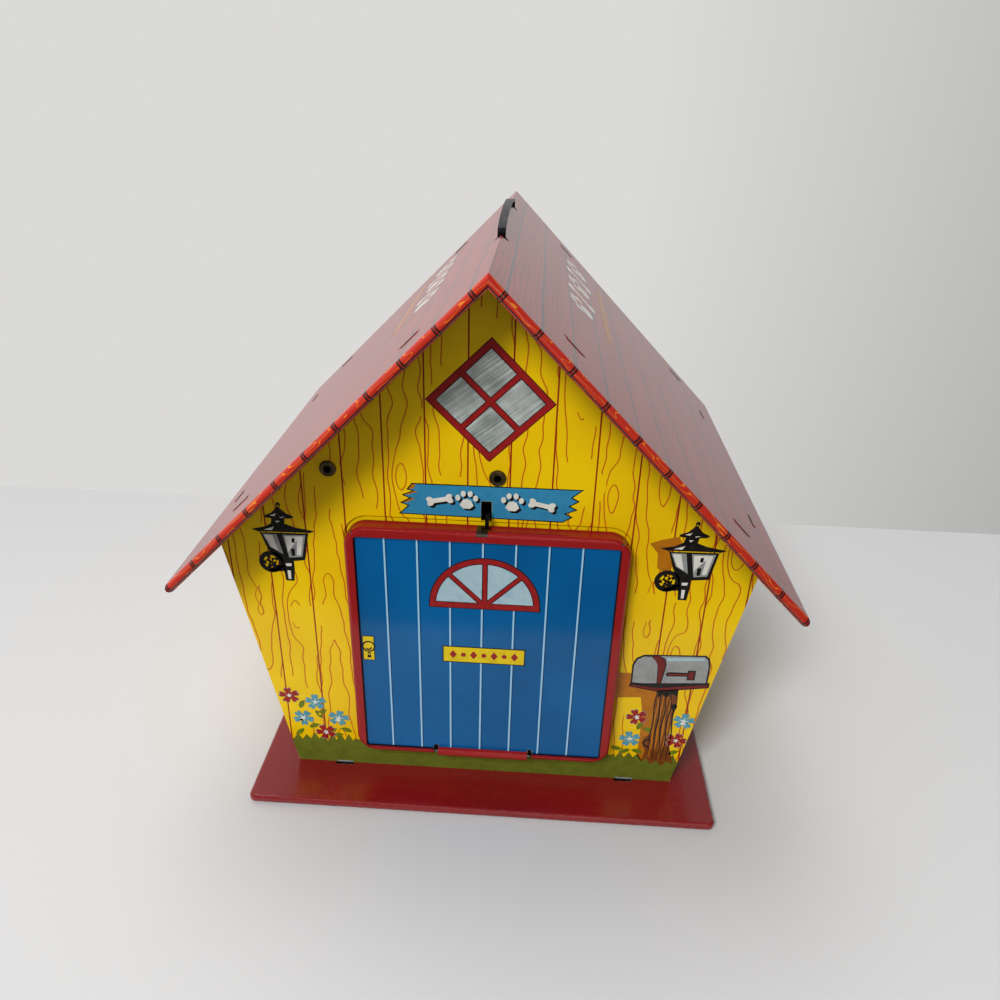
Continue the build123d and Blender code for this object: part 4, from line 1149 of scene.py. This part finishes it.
@dataclass
class FlowerBed:
    """Five-petalled flowers in two colours, with their leaves."""

    name: str
    plane: Plane
    red: tuple[Point, ...]
    blue: tuple[Point, ...]
    leaves: tuple[Place, ...]
    size: float = 3.8
    squash: float = 0.92

    def turn(self, x: float) -> float:
        """Return how far a flower is turned, in degrees, so that no two look alike."""
        return 18 + x * 7

    def blossom(self, x: float, y: float, reach: float) -> list[Point]:
        """Return five notched petals as one outline."""
        petal = ((-33, 0.34), (-24, 0.86), (-10, 1.0), (0, 0.84), (10, 1.0), (24, 0.86))
        points = []
        for i in range(5):
            for angle, radius in petal:
                a = math.radians(72 * i + angle + self.turn(x))
                points.append((x + reach * radius * math.cos(a),
                               y + reach * radius * math.sin(a) * self.squash))
        return points

    def star(self, x: float, y: float, share: float) -> list[list[Point]]:
        """Return five thin rays from a flower's heart, as long as a share of its petals."""
        rays = []
        for i in range(5):
            a = math.radians(self.turn(x) + 72 * i)
            tip = (x + self.size * share * math.cos(a), y + self.size * share * math.sin(a) * self.squash)
            rays.append([(x + 0.35 * math.sin(a), y - 0.35 * math.cos(a)), tip,
                         (x - 0.35 * math.sin(a), y + 0.35 * math.cos(a))])
        return rays

    def build(self, palette: Palette) -> None:
        """Print the flowers and leaves.

        Args:
            palette: the finishes.
        """
        leaf = [(0.0, 0.0), (0.9, 1.0), (2.4, 1.3), (3.9, 0.3), (2.3, -0.5), (0.9, -0.4)]
        edges = [moved(leaf, x - 0.15, y - 0.05, 1.14, turn) for x, y, turn in self.leaves]
        leaves = [moved(leaf, x, y, 1.0, turn) for x, y, turn in self.leaves]
        print_shapes(self.name + "_leaf_edges", edges, self.plane, 2, palette["green ink"])
        print_shapes(self.name + "_leaves", leaves, self.plane, 3, palette["leaf ink"])
        for key, places, ink in (("red", self.red, "red ink"), ("blue", self.blue, "petal-blue ink")):
            edges = [self.blossom(x, y, self.size * 1.07) for x, y in places]
            petals = [self.blossom(x, y, self.size) for x, y in places]
            print_shapes(f"{self.name}_{key}_edges", edges, self.plane, 4, palette["grey ink"])
            print_shapes(f"{self.name}_{key}_petals", petals, self.plane, 5, palette[ink])
        stars = [ray for x, y in self.blue for ray in self.star(x, y, 0.55)]
        stars += [ray for x, y in self.red for ray in self.star(x, y, 0.34)]
        print_shapes(self.name + "_stars", stars, self.plane, 6, palette["white ink"])
        hearts = [disc(x, y, 0.62, count=10) for x, y in self.blue + self.red]
        print_shapes(self.name + "_hearts", hearts, self.plane, 7, palette["white ink"])


@dataclass
class Lawn:
    """The printed grass along the foot of the walls, with ragged tips beside the door, and a painted
    highlight on the front wall's tabs.
    """

    door_half: float = 48.2
    foot: float = 3.02
    under_door: float = 13.3
    tip: float = 15.2
    blade_gap: float = 1.5
    # Where the painted highlight of the bare tin tabs lies: the left and right edge of each patch, and their
    # top.
    painted_tab_glints: tuple[Point, ...] = ((-55.0, -49.2), (49.4, 55.6))
    glint_top: float = 3.75

    def tips(self, start: float, end: float, seed: int) -> list[Point]:
        """Return ragged grass tips from one place to another along the wall."""
        chance = random.Random(seed)
        count = max(4, int(abs(end - start) / self.blade_gap))
        points = []
        for i in range(count + 1):
            x = start + (end - start) * i / count
            rise = chance.uniform(0.2, 2.3) if i % 2 else chance.uniform(-2.6, -1.2)
            points.append((x, self.tip + rise))
        return points

    def build(self, palette: Palette) -> None:
        """Print the grass on all four walls.

        Args:
            palette: the finishes.
        """
        green = palette["green ink"]
        edge = FOOT_HALF + WALL_LEAN * (self.tip - BASE_TOP) - 0.25
        foot = FOOT_HALF - 0.1
        half, ledge = self.door_half, self.under_door
        below = [(-foot, self.foot), (foot, self.foot), (edge, self.tip - 2.0)]
        dip = [(half, ledge + 1.6), (40.0, ledge), (-40.0, ledge), (-half, ledge + 1.6)]
        front = [*below, *self.tips(edge - 0.8, half + 0.2, 3), *dip,
                 *self.tips(-half - 0.2, -edge + 0.8, 5), (-edge, self.tip - 2.0)]
        print_shapes("front_lawn", [front], FRONT_PRINT, 1, green)
        # Grey ink patches at the front wall's foot are painted highlight, standing in for the glint of the
        # bare tin tabs.
        painted_tab_glints = [box_outline(left, right, self.foot, self.glint_top) for left, right in self.painted_tab_glints]
        print_shapes("front_tab_glints", painted_tab_glints, FRONT_PRINT, 2, palette["grey ink"])
        rear = [*below, *self.tips(edge - 0.8, -edge + 0.8, 7), (-edge, self.tip - 2.0)]
        print_shapes("rear_lawn", [rear], REAR_PRINT, 1, green)
        for side, name in ((-1, "left"), (1, "right")):
            start, end = sorted((side * (FRONT_Y + 0.4), side * (REAR_Y - 0.4)))
            blades = [(x, y - BASE_TOP) for x, y in self.tips(end, start, 11 + side)]
            strip = [(start, 0.25), (end, 0.25), *blades]
            print_shapes(name + "_lawn", [strip], side_print(side), 1, green)


@dataclass
class DoorArt:
    """The door's fan light, greeting plate and lock plate."""

    hub: Point = (-0.35, 80.9)
    radius: float = 17.85
    rim: float = 2.1
    spoke: float = 0.95
    sill: float = 1.1
    greeting: Limits = (-14.2, 13.7, 57.2, 64.0)
    lock: Limits = (-41.4, -37.2, 56.1, 66.3)

    def about(self, radius: float, angle: float) -> Point:
        """Return a point at a radius and an angle round the fan light's hub."""
        return self.hub[0] + radius * math.cos(angle), self.hub[1] + radius * math.sin(angle)

    def pane(self, start: float, end: float, low: float, high: float, grow: float = 0.0) -> list[Point]:
        """Return the pane between two spokes, each cut back by its own half width."""
        reach = self.radius - self.rim + grow
        a0, a1 = math.radians(start), math.radians(end)
        low, high = low - grow, high - grow
        half = (a1 - a0) / 2
        away = (low + high) / 2 / math.sin(half)
        tilt = math.atan2((low - high) / 2, away)
        corner = self.about(away, a0 + half + tilt)
        first, last = a0 + math.asin(low / reach), a1 - math.asin(high / reach)
        return [corner, *(self.about(reach, first + (last - first) * i / 8) for i in range(9))]

    def half_disc(self, radius: float, drop: float) -> list[Point]:
        """Return the fan light's outer shape."""
        arc = [self.about(radius, math.pi * i / 24) for i in range(25)]
        return arc + [(self.hub[0] - radius, self.hub[1] - drop), (self.hub[0] + radius, self.hub[1] - drop)]

    def plate(self, name: str, limits: Limits, border: float, palette: Palette) -> None:
        """Print a yellow plate with a black border.

        Args:
            name: the plate's name.
            limits: left, right, low and high edge of the border.
            border: the border's width.
            palette: the finishes.
        """
        left, right, low, high = limits
        inner = box_outline(left + border, right - border, low + border, high - border)
        print_shapes(name + "_outline", [box_outline(*limits)], DOOR_PRINT, 1, palette["black ink"])
        print_shapes(name, [inner], DOOR_PRINT, 2, palette["yellow ink"])

    def build(self, palette: Palette) -> None:
        """Print the door's pictures.

        Args:
            palette: the finishes.
        """
        black, red, glass = palette["black ink"], palette["red ink"], palette["pale-blue ink"]
        print_shapes("fan_light_outline", [self.half_disc(self.radius + 0.3, 1.5)], DOOR_PRINT, 1, black)
        print_shapes("fan_light_frame", [self.half_disc(self.radius - 0.05, 1.2)], DOOR_PRINT, 2, red)
        sides = (self.sill, self.spoke, self.spoke, self.spoke, self.sill)
        cuts = [(45 * i, 45 * i + 45, sides[i], sides[i + 1]) for i in range(4)]
        print_shapes("fan_light_pane_edges", [self.pane(*cut, 0.28) for cut in cuts], DOOR_PRINT, 3, black)
        print_shapes("fan_light_panes", [self.pane(*cut) for cut in cuts], DOOR_PRINT, 4, glass)
        self.plate("greeting_plate", self.greeting, 0.4, palette)
        marks = []
        for i in range(7):
            x = -0.25 + (i - 3) * 3.45
            if i % 2:
                marks.append(disc(x, 60.6, 0.85, count=14))
            else:
                marks.append([(x - 1.25, 60.6), (x, 58.9), (x + 1.25, 60.6), (x, 62.3)])
        print_shapes("greeting_plate_ornament", marks, DOOR_PRINT, 3, red)
        self.plate("lock_plate", self.lock, 0.3, palette)
        knob = [disc(-39.25, 61.9, 2.3), disc(-39.25, 61.9, 1.75)]
        hole = [disc(-39.2, 58.9, 0.6, count=10),
                [(-39.5, 58.9), (-38.9, 58.9), (-38.5, 57.2), (-39.9, 57.2)]]
        shade = [(-40.4, 61.3), (-39.2, 60.9), (-38.2, 61.9), (-38.3, 60.9), (-39.2, 60.3), (-40.1, 60.6)]
        print_shapes("lock_plate_knob_edge", knob, DOOR_PRINT, 3, black)
        print_shapes("lock_plate_keyhole", [*hole, shade], DOOR_PRINT, 3, black)


@dataclass
class RoofArt:
    """Paw marks and bones in place of a name on each slope, over a tan strip."""

    first: float = -8.0
    pitch: float = 15.5
    slant: float = 40.0

    def build(self, palette: Palette) -> None:
        """Print the paws and the tan strip below them on both slopes.

        Args:
            palette: the finishes.
        """
        sign = NameSign()
        for side, name in ((-1, "left"), (1, "right")):
            plane = slope_print(side)
            paws: list[list[Point]] = []
            for i in range(5):
                place = side * (self.first + i * self.pitch)
                if i % 2:
                    paws.append(sign.bone(place, -self.slant, 90, 2.3))
                else:
                    paws += sign.paw(place, -self.slant - 0.5, 2.9)
            print_shapes(name + "_roof_sign", paws, plane, 1, palette["white ink"])
            ends = sorted((side * -16.0, side * 62.0))
            strip = box_outline(*ends, -self.slant - 15.6, -self.slant - 12.4)
            print_shapes(name + "_roof_strip", [strip], plane, 1, palette["tan ink"])


@dataclass
class PuppyFace:
    """Eyes and nose painted on the puppy's head."""

    head: Place = (0.0, -56.0, 70.0)
    radius: float = 10.8
    nose: Place = (0.0, -69.6, 68.6)

    def bead(self, name: str, centre: Place, reach: Place, material: bpy.types.Material) -> None:
        """Put a smooth painted bead on the puppy, cut flat where it sits in the head.

        Args:
            name: the piece's name.
            centre: its centre in millimetres.
            reach: its half sizes in millimetres.
            material: its finish.
        """
        deselect()
        bpy.ops.mesh.primitive_uv_sphere_add(segments=32, ring_count=20, radius=MM)
        piece = bpy.context.object
        piece.name = name
        piece.scale = reach
        piece.location = Vector(centre) * MM
        bpy.ops.object.transform_apply(location=True, rotation=True, scale=True)
        bpy.ops.object.mode_set(mode="EDIT")
        bpy.ops.mesh.select_all(action="SELECT")
        seat = (Vector(centre) + Vector((0.0, reach[1] * 0.6, 0.0))) * MM
        bpy.ops.mesh.bisect(plane_co=seat, plane_no=(0.0, 1.0, 0.0), use_fill=True, clear_outer=True)
        bpy.ops.mesh.select_all(action="SELECT")
        bpy.ops.mesh.normals_make_consistent(inside=False)
        bpy.ops.object.mode_set(mode="OBJECT")
        bpy.ops.object.shade_smooth_by_angle()
        piece.data.materials.append(material)
        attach(piece, "puppy")

    def on_head(self, aside: float, up: float, sink: float) -> Place:
        """Return a point on the front of the head, sunk by so many millimetres."""
        out = Vector((aside, -math.sqrt(self.radius ** 2 - aside ** 2 - up ** 2), up)).normalized()
        x, y, z = Vector(self.head) + out * (self.radius - sink)
        return x, y, z

    def build(self, palette: Palette) -> None:
        """Paint the face.

        Args:
            palette: the finishes.
        """
        black = palette["enamelled eye"]
        self.bead("puppy_nose", self.nose, (2.1, 1.5, 1.4), black)
        for side, name in ((-1, "left"), (1, "right")):
            white = self.on_head(side * 4.0, 3.6, 0.5)
            self.bead(f"puppy_{name}_eye_white", white, (1.9, 1.0, 2.3), palette["white ink"])
            pupil = self.on_head(side * 3.8, 3.3, -0.1)
            self.bead(f"puppy_{name}_pupil", pupil, (1.1, 0.8, 1.4), black)


@dataclass
class SheetMetal:
    """The CAD nodes and the finish that each one carries."""

    finishes: dict[str, tuple[str, ...]] = field(default_factory=lambda: {
        "wall tinplate front": ("front_wall",),
        "wall tinplate rear": ("rear_wall",),
        "wall tinplate right": ("right_wall",),
        "wall tinplate left": ("left_wall",),
        "roof tinplate": ("roof",),
        "door tinplate": ("door_panel",),
        "base tinplate": ("base_pan",),
        "composition coat": ("puppy_figure",),
        "enamelled collar": ("puppy_collar",),
        "blued spring steel": ("carry_strap", "latch_spring", "puppy_spring", "latch_lever"),
        "drawn steel wire": ("hinge_wire", "latch_pin", "paddle_rivets", "spring_rod", "puppy_rivets"),
        "rivet steel": ("wall_eyelets",),
    })

    def dress(self, frame: dict[str, Any], palette: Palette) -> None:
        """Give every node its finish, bare tinplate where none is named.

        Args:
            palette: the finishes.
        """
        chosen = {node: key for key, nodes in self.finishes.items() for node in nodes}
        for node, thing in frame["nodes"].items():
            thing.data.materials.clear()
            thing.data.materials.append(palette[chosen.get(node, "bare tinplate")])
            LOG.info("dressed %s", node)


@dataclass
class Studio:
    """A white shelf in a pale room, soft lights and the camera."""

    lens: float = 28.58
    eye: Place = (13.13, -290.9, 230.05)
    yaw: float = 0.044
    pitch: float = 0.477
    roll: float = 0.028
    floor: str = "#D4D4D5"
    room_front: float = 0.12
    room_back: float = 0.82
    room_colour: str = "#EFEEEC"
    aim: Place = (0.0, 0.0, 0.09)
    shelf_front: float = -0.175
    shelf_back: float = 0.141
    shelf_half: float = 1.1
    shelf_thick: float = 0.02
    shelf_gap: float = 0.0004

    def colour_view(self) -> None:
        """Show printed colours as bright and plain as they are under room light."""
        bpy.context.scene.view_settings.view_transform = "Standard"

    def camera(self) -> None:
        """Make the camera: turned by its yaw, looking down by its pitch, then rolled."""
        data = bpy.data.cameras.new("camera")
        data.lens = self.lens
        data.sensor_width = 36.0
        data.clip_start, data.clip_end = 0.01, 20.0
        camera = bpy.data.objects.new("camera", data)
        bpy.context.collection.objects.link(camera)
        turn = Matrix.Rotation(self.yaw, 3, "Z") @ Matrix.Rotation(math.pi / 2 - self.pitch, 3, "X")
        turn = turn @ Matrix.Rotation(self.roll, 3, "Z")
        camera.matrix_world = Matrix.Translation(Vector(self.eye) * MM) @ turn.to_4x4()
        bpy.context.scene.camera = camera

    def light(self, name: str, place: Place, size: Point, power: float, mirrored: bool = True) -> None:
        """Hang a soft oblong light.

        Args:
            name: the light's name.
            place: where it hangs, in metres.
            size: its width and depth, in metres.
            power: its power, in watts.
            mirrored: False keeps its image out of the varnish.
        """
        data = bpy.data.lights.new(name, "AREA")
        data.shape = "RECTANGLE"
        data.size, data.size_y = size
        data.energy = power
        lamp = bpy.data.objects.new(name, data)
        bpy.context.collection.objects.link(lamp)
        lamp.location = place
        lamp.visible_glossy = mirrored
        lamp.rotation_euler = (Vector(self.aim) - Vector(place)).to_track_quat("-Z", "Y").to_euler()

    def shelf(self) -> None:
        """Put a white shelf below the object."""
        middle = (0, (self.shelf_front + self.shelf_back) / 2, -self.shelf_gap - self.shelf_thick / 2)
        size = (2 * self.shelf_half, self.shelf_back - self.shelf_front, self.shelf_thick)
        deselect()
        bpy.ops.mesh.primitive_cube_add(size=1.0, location=middle, scale=size)
        board = bpy.context.object
        board.name = "studio_shelf"
        bpy.ops.object.transform_apply(location=True, rotation=True, scale=True)
        material, tree = blank("matt white shelf")
        Sheen(roughness=0.9).shader(tree, linear(self.floor))
        board.data.materials.append(material)

    def room(self) -> None:
        """Fill the room with pale light, brightest behind the object and to its left."""
        world = bpy.data.worlds.new("pale room")
        bpy.context.scene.world = world
        world.use_nodes = True
        tree = world.node_tree
        background = tree.nodes["Background"]
        heading = add(tree, "TexCoord").node.outputs["Generated"]
        side = add(tree, "VectorMath", {0: heading, 1: (-0.9, 1.0, 0.0)}, operation="DOT_PRODUCT").node
        strength = add(tree, "MapRange", {"Value": side.outputs["Value"], "From Min": -0.5, "From Max": 0.9,
                                          "To Min": self.room_front, "To Max": self.room_back})
        background.inputs["Color"].default_value = linear(self.room_colour)
        tree.links.new(strength, background.inputs["Strength"])

    def build(self) -> None:
        """Set up shelf, room, lights and camera."""
        self.colour_view()
        self.shelf()
        self.room()
        self.light("key softbox", (-0.45, -1.02, 1.0), (0.4, 0.4), 12.5, mirrored=False)
        self.light("ceiling softbox", (-0.2, 0.3, 1.5), (0.8, 0.8), 7.0)
        self.light("front fill", (0.3, -1.6, 0.5), (0.9, 0.9), 2.2)
        self.light("strip over the door", (-0.05, -0.75, 0.85), (0.9, 0.05), 1.2)
        self.camera()


def flower_beds() -> list[FlowerBed]:
    """Return the flower beds on either side of the door."""
    left = FlowerBed(
        "left_flowers", FRONT_PRINT,
        red=((-70.6, 34.0), (-58.4, 17.6)),
        blue=((-61.2, 31.6), (-66.3, 23.8), (-53.2, 24.6)),
        leaves=((-67.0, 28.2, 60), (-60.6, 25.4, 35), (-66.6, 18.6, -140), (-64.4, 19.2, 20),
                (-54.2, 19.4, 200), (-52.6, 19.6, -25), (-56.0, 15.6, 10), (-61.6, 27.6, -60)))
    right = FlowerBed(
        "right_flowers", FRONT_PRINT,
        red=((54.3, 33.4), (69.3, 23.4)),
        blue=((71.0, 32.6), (52.8, 22.9)),
        leaves=((55.2, 27.4, 60), (53.4, 18.0, 200), (54.0, 17.6, -20), (57.0, 28.4, -30),
                (67.2, 16.4, 20), (50.6, 17.8, 160)))
    return [left, right]


def main() -> None:
    """Dress the frame, print the artwork and set up the studio."""
    logging.basicConfig(level=logging.INFO, format="%(name)s: %(message)s")
    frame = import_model()
    palette = Palette()
    palette.mix()
    SheetMetal().dress(frame, palette)
    works = [Lawn(), GableWindow(), NameSign(), Mailbox(), DoorArt(), RoofArt(), PuppyFace(),
             CarriageLamp("left_lamp", (-66.7, 112.1), -0.9, -2.75),
             CarriageLamp("right_lamp", (65.1, 112.5), -1.75, -5.5, shadow=True), *flower_beds()]
    for work in works:
        work.build(palette)
        LOG.info("built %s", type(work).__name__)
    Studio().build()


if __name__ == "__main__":
    main()
